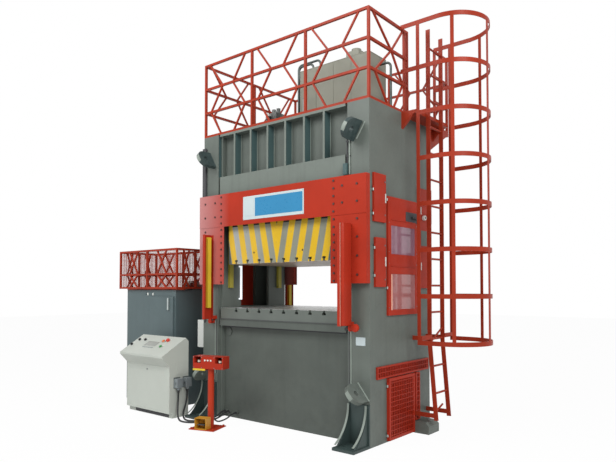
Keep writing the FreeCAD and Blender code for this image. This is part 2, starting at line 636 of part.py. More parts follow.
def make_lamps():
    """Tubular work lamps clipped on the inner column faces."""
    x = "lamp_gap + lamp_radius - column_inner"
    tube = rod("lamp_tube", "z", (x, "lamp_y", "lamp_bottom"), "lamp_top - lamp_bottom",
               "lamp_radius")
    pieces = [tube]
    for index, z in enumerate(("lamp_bottom", "lamp_top - lamp_clip")):
        pieces.append(block("lamp_clip_%d" % index, ("-column_inner", x),
                            ("lamp_y - lamp_radius", "lamp_y + lamp_radius"),
                            (z, z + " + lamp_clip")))
    left = fuse("lamp_left", pieces)
    return group("work_lamps", [left, mirror("lamp_right", left, "x")])


# ---------------------------------------------------------------- guards front and rear
def bolt_places():
    """Places of the guard bolts on the right."""
    places = [("bolt_x", "bolt_row_%d" % row) for row in range(1, 7)]
    places += [("bolt_inner_x", "bolt_row_%d" % row) for row in (1, 2)]
    for index in range(count("edge_bolt_count")):
        places.append(("bolt_edge_x", "edge_bolt_start + edge_bolt_pitch * %d" % index))
    return places


def make_guards():
    """Front and rear guards: header, end plates, channels, light curtains and bolts."""
    front = "-guard_front"
    inner = "guard_sheet - guard_front"
    header = block("header_sheet", ("-guard_half", "guard_half"), (front, inner),
                   ("header_bottom", "header_top"))
    behind = "2 * guard_sheet - guard_front"
    plate = block("end_sheet", ("plate_inner", "guard_half"), (inner, behind),
                  ("plate_bottom", "header_top"))
    side = block("end_return", ("guard_half - guard_sheet", "guard_half"), (inner, "0"),
                 ("plate_bottom", "header_top"))
    strip = block("end_strip", ("bolt_edge_x - edge_strip / 2", "bolt_edge_x + edge_strip / 2"),
                  (behind, behind + " + edge_strip_depth"), ("plate_bottom", "header_top"))
    bosses = []
    holes_header = []
    holes_plate = []
    bolts = []
    for index, (x, z) in enumerate(bolt_places()):
        through = evaluate(z) > evaluate("header_bottom")
        if x != "bolt_edge_x":
            bosses.append(rod("end_boss_%d" % index, "y", (x, behind, z),
                              "guard_front - 2 * guard_sheet", "boss_radius"))
        place = (x, front, z)
        if through:
            holes_header.append(rod("header_hole_%d" % index, "y", place, "guard_sheet",
                                    "bolt_shank_radius + bolt_play"))
        under = front if through else inner
        holes_plate.append(rod("end_hole_%d" % index, "y", (x, inner, z),
                               "bolt_length" if not through else "bolt_length - guard_sheet",
                               "bolt_shank_radius + bolt_play"))
        head = rod("bolt_head_%d" % index, "y", (x, under + " - bolt_head", z), "bolt_head",
                   "bolt_head_radius")
        shank = rod("bolt_shank_%d" % index, "y", (x, under, z), "bolt_length - bolt_play",
                    "bolt_shank_radius")
        bolts.append(fuse("bolt_%d" % index, [head, shank]))
    left_holes = [mirror(hole.Name + "_left", hole, "x") for hole in holes_header]
    front_header = cut("header_front", header, holes_header + left_holes)
    right_plate = cut("end_right", fuse("end_blank", [plate, side, strip] + bosses),
                      holes_plate)
    channel = make_channel(inner)
    curtain = block("curtain_bar", ("channel_outer - channel_sheet - curtain_width",
                                    "channel_outer - channel_sheet"),
                    ("curtain_inset - channel_depth + %s" % inner,
                     "curtain_inset + curtain_depth - channel_depth + %s" % inner),
                    ("curtain_bottom", "curtain_top"))
    bolt_set = group("bolts_right", bolts)
    sets = [("guard_end_plates", right_plate), ("guard_channels", channel),
            ("light_curtains", curtain), ("guard_bolts", bolt_set)]
    nodes = []
    for name, right in sets:
        pair = [right, mirror(name + "_left", right, "x")]
        rear = [mirror(piece.Name + "_behind", piece, "y", "body_depth / 2") for piece in pair]
        nodes.append(group(name, pair + rear))
    rear_header = mirror("header_rear", front_header, "y", "body_depth / 2")
    nodes.append(group("guard_headers", [front_header, rear_header]))
    return nodes


def make_channel(rear):
    """Upright channel that shields a light curtain, with its foot bracket and round cap."""
    front = "%s - channel_depth" % rear
    across = ("channel_outer - channel_width", "channel_outer")
    outer = block("channel_outside", across, (front, rear), ("channel_bottom", "channel_top"))
    hollow = block("channel_inside", (across[0], "channel_outer - channel_sheet"),
                   (front + " + channel_sheet", rear + " - channel_sheet"),
                   ("channel_bottom", "channel_top"))
    section = cut("channel_section", outer, [hollow])
    bracket = block("channel_bracket", across, (rear, "0"),
                    ("channel_bottom", "channel_bottom + channel_width"))
    tab = block("channel_tab", ("channel_outer - channel_sheet", "cap_x"),
                (rear + " - channel_sheet", "0"), ("cap_z", "channel_bottom + channel_width"))
    cap = rod("channel_cap", "y", ("cap_x", rear + " - channel_sheet", "cap_z"),
              "guard_front", "cap_radius")
    return fuse("channel_right", [section, bracket, tab, cap])


def make_blank_plates():
    """Bare plates: a wide one on the header and a small one on the right column."""
    wide = block("plate_wide", ("sign_left", "sign_right"),
                 ("-guard_front - plate_sheet", "-guard_front"), ("sign_bottom", "sign_top"))
    small = block("plate_small", ("label_left", "label_right"), ("-plate_sheet", "0"),
                  ("label_bottom", "label_top"))
    return group("blank_plates", [wide, small])


# ---------------------------------------------------------------- railing, ladder and landings
def rail_levels():
    """Heights of the four rails."""
    return [size("rail_low") + size("rail_pitch") * index for index in range(count("rail_count"))]


def braces(foot, along, bay, normal, levels, shares):
    """Slanted bars of one bay, from rail to rail at shares of its length."""
    bars = []
    for band, (above, below) in enumerate(shares):
        top = levels[len(levels) - 1 - band]
        bottom = levels[len(levels) - 2 - band]
        for upper, lower in zip(above, below):
            bars.append(beam(foot + along * (bay * upper) + Z_AXIS * top,
                             foot + along * (bay * lower) + Z_AXIS * bottom,
                             size("brace_width"), size("brace_width"), normal))
    return bars


def rail_panel(foot, along, stations, normal, posts=None, shares=BRACE_SHARES):
    """Rails, posts and braces of one straight run of railing."""
    levels = rail_levels()
    width = size("rail_width")
    half = width / 2
    bars = []
    for level in levels:
        bars.append(beam(foot + along * (stations[0] - half) + Z_AXIS * level,
                         foot + along * (stations[-1] + half) + Z_AXIS * level,
                         width, width, normal))
    for station in stations if posts is None else posts:
        bars.append(beam(foot + along * station + Z_AXIS * (size("body_height")),
                         foot + along * station + Z_AXIS * (levels[-1] + half),
                         width, width, normal))
    for start, end in zip(stations, stations[1:]):
        if end - start > size("rail_bay") / 2:
            bars += braces(foot + along * start, along, end - start, normal, levels, shares)
    return weld(bars)


def make_railings():
    """Front and rear railings, and the side railings with a gap for the ladder."""
    half = size("rail_half")
    bay = size("rail_bay")
    stations = [bay * index for index in range(count("rail_bays") + 1)]
    front = rail_panel(Vector(-half, size("rail_front"), 0), X_AXIS, stations, Y_AXIS)
    rear = rail_panel(Vector(-half, size("rail_rear"), 0), X_AXIS, stations, Y_AXIS)
    start = size("rail_front") + size("rail_width") / 2
    end = size("rail_rear") - size("rail_width") / 2
    post = size("rail_width") / 2
    gate = size("gate_front") - size("gate_post_gap")
    right = [
        rail_panel(Vector(half, 0, 0), Y_AXIS, [start + post, gate, size("gate_front")], X_AXIS,
                   [gate, size("gate_front")], GATE_SHARES),
        rail_panel(Vector(half, 0, 0), Y_AXIS, [size("gate_rear"), end - post], X_AXIS,
                   [size("gate_rear")]),
    ]
    middle = (start + end) / 2
    left = rail_panel(Vector(-half, 0, 0), Y_AXIS, [start + post, middle, end - post], X_AXIS,
                      [middle])
    return [
        feature("railing_ends", Part.makeCompound([front, rear])),
        feature("railing_sides", Part.makeCompound(right + [left])),
    ]


def ladder_line(y):
    """Points of one ladder stile, which leans out below the knee."""
    kick = size("ladder_x") + size("ladder_kick")
    return [Vector(kick, y, size("ladder_bottom")), Vector(size("ladder_x"), y, size("ladder_knee")),
            Vector(size("ladder_x"), y, size("ladder_top"))]


def make_ladder():
    """Ladder of flat stiles with brackets to the column, and round rungs between them."""
    bars = []
    wide = size("stile_width")
    thin = size("stile_thickness")
    for y in (size("stile_front"), size("stile_rear")):
        low, knee, top = ladder_line(y)
        arm = Vector(size("body_half"), y, size("arm_low"))
        foot = size("ladder_bottom") + size("arm_height")
        bars.append(weld([
            beam(low, knee, wide, thin, Y_AXIS),
            beam(knee - Z_AXIS * thin, top, wide, thin, Y_AXIS),
            beam(arm, Vector(size("ladder_x"), y, size("arm_low")), size("arm_height"), thin,
                 Y_AXIS),
            beam(Vector(size("body_half"), y, foot), Vector(low.x, y, foot), size("arm_height"),
                 thin, Y_AXIS),
        ]))
    for index in range(count("rung_count")):
        level = size("rung_start") + size("rung_pitch") * index
        lean = max(0, (size("ladder_knee") - level) / (size("ladder_knee") - size("ladder_bottom")))
        x = size("ladder_x") + size("ladder_kick") * lean
        bars.append(Part.makeCylinder(
            size("rung_radius"), size("stile_rear") - size("stile_front") - thin,
            Vector(x, size("stile_front") + thin / 2, level), Y_AXIS))
    return feature("ladder", Part.makeCompound(bars))


def cage_hoop(level):
    """Flat hoop: straight arms from both posts and a half circle at the outside."""
    radius = size("cage_radius")
    thin = size("hoop_thickness")
    height = size("hoop_height")
    centre_x = size("cage_axis_x")
    centre_y = size("cage_axis_y")
    base = level - height / 2
    centre = Vector(centre_x, centre_y, base)
    ring = Part.makeCylinder(radius + thin, height, centre).cut(Part.makeCylinder(radius, height, centre))
    outer_half = Part.makeBox(radius + 2 * thin, 2 * radius + 4 * thin, height,
                              Vector(centre_x, centre_y - radius - 2 * thin, base))
    arc = ring.common(outer_half)
    pieces = [arc]
    for y in (centre_y - radius - thin / 2, centre_y + radius + thin / 2):
        pieces.append(beam(Vector(size("ladder_x"), y, level), Vector(centre_x + thin, y, level),
                           height, thin, Y_AXIS))
    return pieces


def make_cage():
    """Safety cage round the ladder: hoops, three straps, two posts and arms at the top."""
    thin = size("hoop_thickness")
    radius = size("cage_radius")
    height = size("hoop_height")
    low = size("hoop_start")
    high = low + size("hoop_pitch") * (count("hoop_count") - 1)
    bars = []
    for index in range(count("hoop_count")):
        bars += cage_hoop(low + size("hoop_pitch") * index)
    for y in (size("cage_axis_y") - radius - thin / 2, size("cage_axis_y") + radius + thin / 2):
        bars.append(beam(Vector(size("ladder_x"), y, low - height / 2),
                         Vector(size("ladder_x"), y, high + height / 2),
                         size("strap_width"), thin, Y_AXIS))
    for angle in (-size("strap_angle"), 0, size("strap_angle")):
        turn = math.radians(angle)
        outward = Vector(math.cos(turn), math.sin(turn), 0)
        place = Vector(size("cage_axis_x"), size("cage_axis_y"), 0) + outward * (radius + thin / 2)
        bars.append(beam(place + Z_AXIS * (low - height / 2), place + Z_AXIS * (high + height / 2),
                         size("strap_width"), thin, outward))
    hoop_side = radius + thin / 2
    inside = size("rail_half") + size("rail_width") / 2
    for y, side in ((size("cage_axis_y") - hoop_side, -1), (size("cage_axis_y") + hoop_side, 1)):
        for level in (high, high - size("hoop_pitch")):
            bars.append(beam(Vector(inside, y, level), Vector(size("ladder_x"), y, level),
                             height, thin, Y_AXIS))
    knee = low + height
    for y in (size("cage_axis_y") - hoop_side, size("cage_axis_y") + hoop_side):
        stile = size("stile_front") if y < size("cage_axis_y") else size("stile_rear")
        bars.append(beam(Vector(size("ladder_x") + size("stile_width") / 2 + thin / 2, y, knee),
                         Vector(size("ladder_x") + size("stile_width") / 2 + thin / 2, stile, knee),
                         height, thin, X_AXIS))
    return feature("ladder_cage", weld(bars))


def make_landings():
    """Walkway behind the crown and the small landing at the head of the ladder."""
    top = "body_height"
    under = "body_height - deck_thickness"
    rear = block("rear_deck", ("-body_half", "body_half"), ("body_depth", "deck_rear"),
                 (under, top))
    pieces = [rear]
    for index, x in enumerate(("-body_half", "column_inner", "-column_inner - flange_depth",
                               "body_half - flange_depth")):
        pieces.append(prism("deck_gusset_%d" % index, "yz", [
            ("body_depth", under), ("deck_rear - deck_thickness", under),
            ("body_depth", under + " - deck_gusset"),
        ], "flange_depth", x))
    walkway = fuse("rear_walkway", pieces)
    side = block("side_deck", ("body_half", "body_half + landing_reach"),
                 ("landing_front", "landing_rear"), (under, top))
    ribs = [side]
    for index, y in enumerate(("landing_front", "landing_rear - deck_thickness")):
        ribs.append(prism("side_gusset_%d" % index, "xz", [
            ("body_half", under), ("body_half + landing_reach - deck_thickness", under),
            ("body_half", under + " - deck_gusset / 2"),
        ], "deck_thickness", y + " + deck_thickness"))
    return group("landing_platform", [walkway, fuse("side_landing", ribs)])


# ---------------------------------------------------------------- hydraulics on top
def rounded_path(points, radius):
    """Straight runs through the points joined by tangent arcs of one radius, or fitted ones."""
    edges = []
    last = points[0]
    for before, corner, after in zip(points, points[1:], points[2:]):
        toward = (before - corner).normalize()
        onward = (after - corner).normalize()
        half = toward.getAngle(onward) / 2
        bend = radius
        if bend is None:
            shorter = min((before - corner).Length, (after - corner).Length)
            bend = ARC_SHARE * shorter * math.tan(half)
        reach = bend / math.tan(half)
        enter = corner + toward * reach
        leave = corner + onward * reach
        inward = (toward + onward).normalize()
        middle = corner + inward * (bend / math.sin(half) - bend)
        edges.append(Part.LineSegment(last, enter).toShape())
        edges.append(Part.Arc(enter, middle, leave).toShape())
        last = leave
    edges.append(Part.LineSegment(last, points[-1]).toShape())
    return Part.Wire(edges)


def tube_along(points, tube_radius, bend=None):
    """Round tube along a rounded path."""
    path = rounded_path(points, bend)
    direction = (points[1] - points[0]).normalize()
    ring = Part.Wire([Part.makeCircle(tube_radius, points[0], direction)])
    return path.makePipeShell([ring], True, False)


def make_tank():
    """Filling tank on the crown, with its flanged breather bolted on."""
    outside = block("tank_shell", ("tank_left", "tank_right"), ("tank_front", "tank_rear"),
                    ("body_height", "tank_top"))
    inside = block("tank_space", ("tank_left + tank_wall", "tank_right - tank_wall"),
                   ("tank_front + tank_wall", "tank_rear - tank_wall"),
                   ("body_height + tank_wall", "tank_top - tank_wall"))
    return cut("top_tank", outside, [inside])


def make_breather():
    """Filler housing and breather cap on the tank."""
    middle = "(tank_front + tank_rear) / 2"
    pot = block("breather_pot", ("breather_x - breather_radius", "breather_x + breather_radius"),
                (middle + " - breather_radius", middle + " + breather_radius"),
                ("tank_top", "tank_top + breather_height"))
    cap = rod("breather_lid", "z", ("breather_x", middle, "tank_top + breather_height"),
              "breather_cap", "breather_cap_radius")
    return fuse("tank_breather", [pot, cap])


def make_valves():
    """Valve block beside the tank with its cartridge caps."""
    body = block("valve_body", ("valve_left", "valve_right"), ("valve_front", "valve_rear"),
                 ("body_height", "valve_top - solenoid_radius"))
    pieces = [body]
    middle_y = "(valve_front + valve_rear) / 2"
    for index, factor in enumerate(PORT_SHARES):
        x = "valve_left + (valve_right - valve_left) * %s" % factor
        pieces.append(rod("valve_cap_%d" % index, "z", (x, middle_y, "valve_top - solenoid_radius"),
                          "solenoid_length", "solenoid_radius"))
    pieces.append(rod("valve_coil", "x", ("valve_right", middle_y, "valve_top - 3 * solenoid_radius"),
                      "solenoid_length", "solenoid_radius"))
    return fuse("valve_block", pieces)


def make_pipes():
    """Pipes between the valve block and the tank, and the drop pipe behind."""
    radius = size("pipe_radius")
    bend = size("pipe_bend")
    mid_y = (size("valve_front") + size("valve_rear")) / 2
    crest = size("tank_top") + 2 * bend
    left = size("tank_left") - 2 * bend
    tubes = []
    for index in range(2):
        shift = index * 3 * radius
        inside_x = size("tank_left") + 2 * bend + 2 * shift
        y = size("tank_front") + 2 * bend + shift
        tubes.append(tube_along([
            Vector(left - shift, y, size("body_height")),
            Vector(left - shift, y, crest + shift),
            Vector(inside_x, y, crest + shift),
            Vector(inside_x, y, size("tank_top")),
        ], radius, bend))
    tubes.append(tube_along([
        Vector(size("valve_left"), mid_y, size("valve_top") - 3 * bend),
        Vector(size("valve_left") - 3 * bend, mid_y, size("valve_top") - 3 * bend),
        Vector(size("valve_left") - 3 * bend, mid_y, size("body_height")),
    ], radius, bend))
    right = size("tank_right")
    rear_y = (size("tank_front") + size("tank_rear")) / 2
    tubes.append(tube_along([
        Vector(right, rear_y, size("tank_top") - 2 * bend),
        Vector(right + 3 * bend, rear_y, size("tank_top") - 2 * bend),
        Vector(right + 3 * bend, rear_y, size("body_height")),
    ], radius, bend))
    return feature("hydraulic_pipes", Part.makeCompound(tubes))


# ---------------------------------------------------------------- hinged covers of the right side
def tray(name, y, z, depth="cover_depth", sheet_words="cover_sheet"):
    """Folded cover, open toward the column, that stands a small gap off it."""
    near = "body_half + cover_gap"
    far = near + " + " + depth
    outside = block(name + "_outside", (near, far), y, z)
    inside = block(name + "_inside", (near, "%s - %s" % (far, sheet_words)),
                   ("%s + %s" % (y[0], sheet_words), "%s - %s" % (y[1], sheet_words)),
                   ("%s + %s" % (z[0], sheet_words), "%s - %s" % (z[1], sheet_words)))
    return cut(name + "_tray", outside, [inside])


def hinge_halves(name, edge, low):
    """Lift-off hinge: a fixed half that carries the pin, a moving half and its bore."""
    axis_x = "body_half + hinge_reach"
    axis_y = edge + " - hinge_offset"
    above = low + " + hinge_length + cover_gap"
    fixed = fuse(name + "_fixed", [
        rod(name + "_post", "z", (axis_x, axis_y, low), "hinge_length", "hinge_radius"),
        rod(name + "_pin", "z", (axis_x, axis_y, low), "2 * hinge_length", "hinge_pin"),
        block(name + "_base", ("body_half", axis_x), (axis_y + " - hinge_radius",
              axis_y + " - hinge_radius + hinge_leaf"), (low, low + " + hinge_length")),
    ])
    moving = [
        rod(name + "_sleeve", "z", (axis_x, axis_y, above), "hinge_length", "hinge_radius"),
        block(name + "_wing", (axis_x, axis_x + " + hinge_leaf"), (axis_y, edge + " + cover_sheet"),
              (above, above + " + hinge_length")),
    ]
    bore = rod(name + "_bore", "z", (axis_x, axis_y, low), "3 * hinge_length",
               "hinge_pin + hinge_play")
    return fixed, moving, bore


def hinged(name, leaf, edge, lows, openings=()):
    """Cover with its moving hinge halves; gives the fixed halves as well."""
    fixed_halves = []
    pieces = [leaf]
    bores = list(openings)
    for index, low in enumerate(lows):
        fixed, moving, bore = hinge_halves("%s_hinge_%d" % (name, index), edge, low)
        fixed_halves.append(fixed)
        pieces += moving
        bores.append(bore)
    return cut(name, fuse(name + "_blank", pieces), bores), fixed_halves


def make_side_covers():
    """Two small covers, the window door, the rear door and their hinges."""
    upper, hinges = hinged("upper_cover", tray(
        "upper", ("upper_cover_front", "upper_cover_rear"),
        ("upper_cover_bottom", "upper_cover_top")), "upper_cover_front",
        ["upper_hinge_low", "upper_hinge_high"])
    lower, more = hinged("lower_cover", tray(
        "lower", ("lower_cover_front", "lower_cover_rear"),
        ("lower_cover_bottom", "lower_cover_top")), "lower_cover_front",
        ["lower_hinge_low", "lower_hinge_high"])
    hinges += more
    window, more = make_window_door()
    hinges += more
    face = "body_half + cover_gap + cover_depth"
    knob = rod("rear_knob", "x", (face, "knob_y", "knob_z"), "knob_height", "knob_radius")
    leaf = fuse("rear_leaf", [tray("rear", ("rear_door_front", "rear_door_rear"),
                                   ("rear_door_bottom", "rear_door_top")), knob])
    rear, more = hinged("rear_door", leaf, "rear_door_front",
                        ["rear_hinge_low", "rear_hinge_high"])
    hinges += more
    mesh, more = make_mesh_door()
    hinges += more
    return [upper, lower, window, rear, mesh, make_mesh_strip(), make_panes(), make_lever(),
            group("door_hinges", hinges)]


def pane_edges():
    """Low and high edges of the two panes of the window door."""
    return [("window_door_bottom + door_frame", "door_bar_bottom"),
            ("door_bar_top", "window_door_top - door_frame")]


def make_window_door():
    """Door with two panes, a middle bar and a lock plate."""
    face = "body_half + cover_gap + cover_depth"
    leaf = tray("window", ("window_door_front", "window_door_rear"),
                ("window_door_bottom", "window_door_top"))
    lights = []
    for index, z in enumerate(pane_edges()):
        lights.append(block("window_light_%d" % index, (face + " - 2 * cover_sheet", face),
                            ("window_door_front + door_frame", "window_door_rear - door_frame"), z))
    frame = cut("window_frame", leaf, lights)
    lock = block("window_lock", (face + " - cover_sheet", face + " + lock_depth"),
                 ("lock_front", "lock_rear"), ("lock_bottom", "lock_top"))
    hole = rod("window_lock_hole", "x", (face + " - 2 * cover_sheet", "lock_rear - lever_pin_edge",
               "(lock_bottom + lock_top) / 2"), "2 * cover_sheet + 2 * lock_depth",
               "lever_pin + rod_clearance")
    return hinged("window_door", fuse("window_leaf", [frame, lock]), "window_door_front",
                  ["window_hinge_low", "window_hinge_high"], [hole])


def make_panes():
    """Panes that lie behind the frame of the window door."""
    behind = "body_half + cover_gap + cover_depth - cover_sheet"
    panes = []
    for index, (low, high) in enumerate(pane_edges()):
        panes.append(block("window_pane_%d" % index, (behind + " - pane_thickness", behind),
                           ("window_door_front + door_frame - pane_thickness",
                            "window_door_rear - door_frame + pane_thickness"),
                           (low + " - pane_thickness", high + " + pane_thickness")))
    return group("window_panes", panes)


def make_lever():
    """Lever of the window door's lock, on its round spindle."""
    face = "body_half + cover_gap + cover_depth"
    pivot_y = "lock_rear - lever_pin_edge"
    pivot_z = "(lock_bottom + lock_top) / 2"
    out = face + " + lock_depth + lever_gap"
    spindle = rod("lever_spindle", "x", (face + " - cover_sheet + cover_gap", pivot_y, pivot_z),
                  "cover_sheet - cover_gap + lock_depth + lever_gap", "lever_pin")
    arm = block("lever_arm", (out, out + " + lever_thickness"),
                (pivot_y + " - lever_length", pivot_y + " + lever_width / 2"),
                (pivot_z + " - lever_width / 2", pivot_z + " + lever_width / 2"))
    return fuse("window_handle", [spindle, arm])


def grille(name, y, z, x, frame, wire):
    """Frame filled with crossed bars at an even pitch."""
    outside = block(name + "_outside", x, y, z)
    inside = block(name + "_inside", x, ("%s + %s" % (y[0], frame), "%s - %s" % (y[1], frame)),
                   ("%s + %s" % (z[0], frame), "%s - %s" % (z[1], frame)))
    pieces = [cut(name + "_frame", outside, [inside])]
    outer = x[1]
    wires = (outer + " - mesh_sheet", outer)
    columns = int((evaluate(y[1]) - evaluate(y[0])) / size("mesh_pitch"))
    rows = int((evaluate(z[1]) - evaluate(z[0])) / size("mesh_pitch"))
    for index in range(1, columns):
        middle = "%s + ((%s) - (%s)) * %d / %d" % (y[0], y[1], y[0], index, columns)
        pieces.append(block("%s_bar_%d" % (name, index), wires,
                            ("%s - %s / 2" % (middle, wire), "%s + %s / 2" % (middle, wire)), z))
    for index in range(1, rows):
        middle = "%s + ((%s) - (%s)) * %d / %d" % (z[0], z[1], z[0], index, rows)
        pieces.append(block("%s_rung_%d" % (name, index), wires, y,
                            ("%s - %s / 2" % (middle, wire), "%s + %s / 2" % (middle, wire))))
    return fuse(name + "_grille", pieces)


def make_mesh_door():
    """Low door of wire mesh."""
    near = "body_half + cover_gap"
    leaf = grille("mesh", ("mesh_front", "mesh_rear"), ("mesh_bottom", "mesh_top"),
                  (near, near + " + mesh_depth"), "mesh_frame", "mesh_wire")
    return hinged("mesh_door", leaf, "mesh_front", ["mesh_low_hinge", "mesh_high_hinge"])


def make_mesh_strip():
    """Fixed vent grille over the mesh door and the fixed mesh beside it."""
    long = grille("strip", ("strip_front", "strip_rear"), ("strip_bottom", "strip_top"),
                  ("body_half", "body_half + strip_depth"), "strip_frame", "mesh_wire")
    short = grille("side_strip", ("side_mesh_front", "side_mesh_rear"),
                   ("side_mesh_bottom", "mesh_top"),
                   ("body_half", "body_half + mesh_depth"), "strip_frame", "mesh_wire")
    return group("mesh_strip", [long, short])


# ---------------------------------------------------------------- power unit
def make_cabinet():
    """Sheet housing of the power unit, open in front for its door."""
    shell = block("cabinet_shell", ("unit_left", "unit_right"), ("0", "unit_depth"),
                  ("0", "unit_height"))
    space = block("cabinet_space", ("unit_left + unit_wall", "unit_right - unit_wall"),
                  ("unit_wall", "unit_depth - unit_wall"),
                  ("unit_base", "unit_height - unit_wall"))
    doorway = block("cabinet_doorway", ("unit_door_left + unit_frame", "unit_door_right - unit_frame"),
                    ("0", "unit_wall"),
                    ("unit_door_bottom + unit_frame", "unit_door_top - unit_frame"))
    eyes = []
    for name in ("left", "right"):
        eyes.append(rod("cabinet_eye_" + name, "y",
                        ("unit_eye_" + name, "-unit_eye_depth", "unit_eye_z"),
                        "unit_eye_depth", "unit_eye_radius"))
    body = cut("cabinet_body", shell, [space, doorway])
    fixed = []
    for index, low in enumerate(("unit_hinge_low", "unit_hinge_high")):
        fixed.append(front_hinge_fixed("cabinet_hinge_%d" % index, low))
    return fuse("power_cabinet", [body] + eyes + fixed)


def front_hinge_axis():
    """Upright axis of the cabinet door's hinges."""
    return "unit_door_left - hinge_offset", "-hinge_reach"


def front_hinge_fixed(name, low):
    """Half of a lift-off hinge that stays on the cabinet and carries the pin."""
    axis_x, axis_y = front_hinge_axis()
    return fuse(name + "_fixed", [
        rod(name + "_post", "z", (axis_x, axis_y, low), "hinge_length", "hinge_radius"),
        rod(name + "_pin", "z", (axis_x, axis_y, low), "2 * hinge_length", "hinge_pin"),
        block(name + "_base", (axis_x + " - hinge_radius", axis_x + " - hinge_radius + hinge_leaf"),
              (axis_y, "0"), (low, low + " + hinge_length")),
    ])


def front_hinge_moving(name, low):
    """Sleeve and wing of a lift-off hinge on the cabinet door, and the bore through them."""
    axis_x, axis_y = front_hinge_axis()
    above = low + " + hinge_length + cover_gap"
    moving = [
        rod(name + "_sleeve", "z", (axis_x, axis_y, above), "hinge_length", "hinge_radius"),
        block(name + "_wing", (axis_x, "unit_door_left + cover_sheet"),
              (axis_y + " - hinge_leaf", axis_y), (above, above + " + hinge_length")),
    ]
    bore = rod(name + "_bore", "z", (axis_x, axis_y, low), "3 * hinge_length",
               "hinge_pin + hinge_play")
    return moving, bore


def make_cabinet_door():
    """Folded door of the power unit with the bore for its swing handle."""
    outside = block("unit_door_outside", ("unit_door_left", "unit_door_right"),
                    ("-cover_gap - unit_door_depth", "-cover_gap"),
                    ("unit_door_bottom", "unit_door_top"))
    inside = block("unit_door_inside", ("unit_door_left + cover_sheet", "unit_door_right - cover_sheet"),
                   ("cover_sheet - cover_gap - unit_door_depth", "-cover_gap"),
                   ("unit_door_bottom + cover_sheet", "unit_door_top - cover_sheet"))
    pieces = [cut("unit_door_tray", outside, [inside])]
    bores = [rod("unit_door_hole", "y", ("unit_handle_x", "-2 * unit_door_depth",
                 "unit_handle_high - unit_handle_width"), "2 * unit_door_depth",
                 "lever_pin + rod_clearance")]
    for index, low in enumerate(("unit_hinge_low", "unit_hinge_high")):
        moving, bore = front_hinge_moving("unit_door_hinge_%d" % index, low)
        pieces += moving
        bores.append(bore)
    return cut("cabinet_door", fuse("cabinet_door_blank", pieces), bores)


def make_cabinet_handle():
    """Swing handle that hangs from its spindle near the top."""
    face = "-cover_gap - unit_door_depth"
    pivot_z = "unit_handle_high - unit_handle_width"
    spindle = rod("handle_spindle", "y", ("unit_handle_x", face + " - cover_gap", pivot_z),
                  "cover_sheet + cover_gap", "lever_pin")
    bar = block("handle_bar", ("unit_handle_x - unit_handle_width / 2",
                               "unit_handle_x + unit_handle_width / 2"),
                (face + " - cover_gap - unit_handle_depth", face + " - cover_gap"),
                ("unit_handle_low", "unit_handle_high"))
    return fuse("cabinet_handle", [spindle, bar])


def guard_side(foot, along, length, normal, levels, middle):
    """Rails, posts and slanted bars of one side of the guard on the power unit."""
    width = size("rail_width")
    half = width / 2
    bars = [beam(foot - along * half + Z_AXIS * level, foot + along * (length + half) + Z_AXIS * level,
                 width, width, normal) for level in levels]
    for station in (0, middle, length):
        bars.append(beam(foot + along * station + Z_AXIS * levels[0],
                         foot + along * station + Z_AXIS * (levels[-1] + half),
                         width, width, normal))
    thin = size("brace_width")
    low, mid, top = levels
    for start, end in ((0, middle), (middle, length)):
        bay = end - start
        for knot, other in ((KNOT_SHARE, 1 - KNOT_SHARE), (1 - KNOT_SHARE, KNOT_SHARE)):
            knot_point = foot + along * (start + bay * knot) + Z_AXIS * mid
            bars.append(beam(knot_point, foot + along * (start + bay * other) + Z_AXIS * top,
                             thin, thin, normal))
            bars.append(beam(knot_point, foot + along * (start + bay * other) + Z_AXIS * low,
                             thin, thin, normal))
    return bars


def make_unit_guard():
    """Guard rail round the valves on the power unit, with posts down to the housing."""
    levels = [size("guard_frame_low"), size("guard_frame_middle"), size("guard_frame_top")]
    left = size("guard_frame_left")
    right = size("guard_frame_right")
    front = size("guard_frame_front")
    depth = size("guard_frame_rear") - front
    length = right - left
    bars = guard_side(Vector(left, front, 0), X_AXIS, length, Y_AXIS, levels, length / 2)
    bars += guard_side(Vector(left, front + depth, 0), X_AXIS, length, Y_AXIS, levels, length / 2)
    bars += guard_side(Vector(left, front, 0), Y_AXIS, depth, X_AXIS, levels, depth / 2)
    bars += guard_side(Vector(right, front, 0), Y_AXIS, depth, X_AXIS, levels, depth / 2)
    seat = size("unit_height") + size("rail_width") / 2
    for share in SEAT_SHARES:
        y = front + depth * share
        bars.append(beam(Vector(left, y, seat), Vector(right, y, seat), size("rail_width"),
                         size("rail_width"), Y_AXIS))
    return feature("unit_guard", weld(bars))


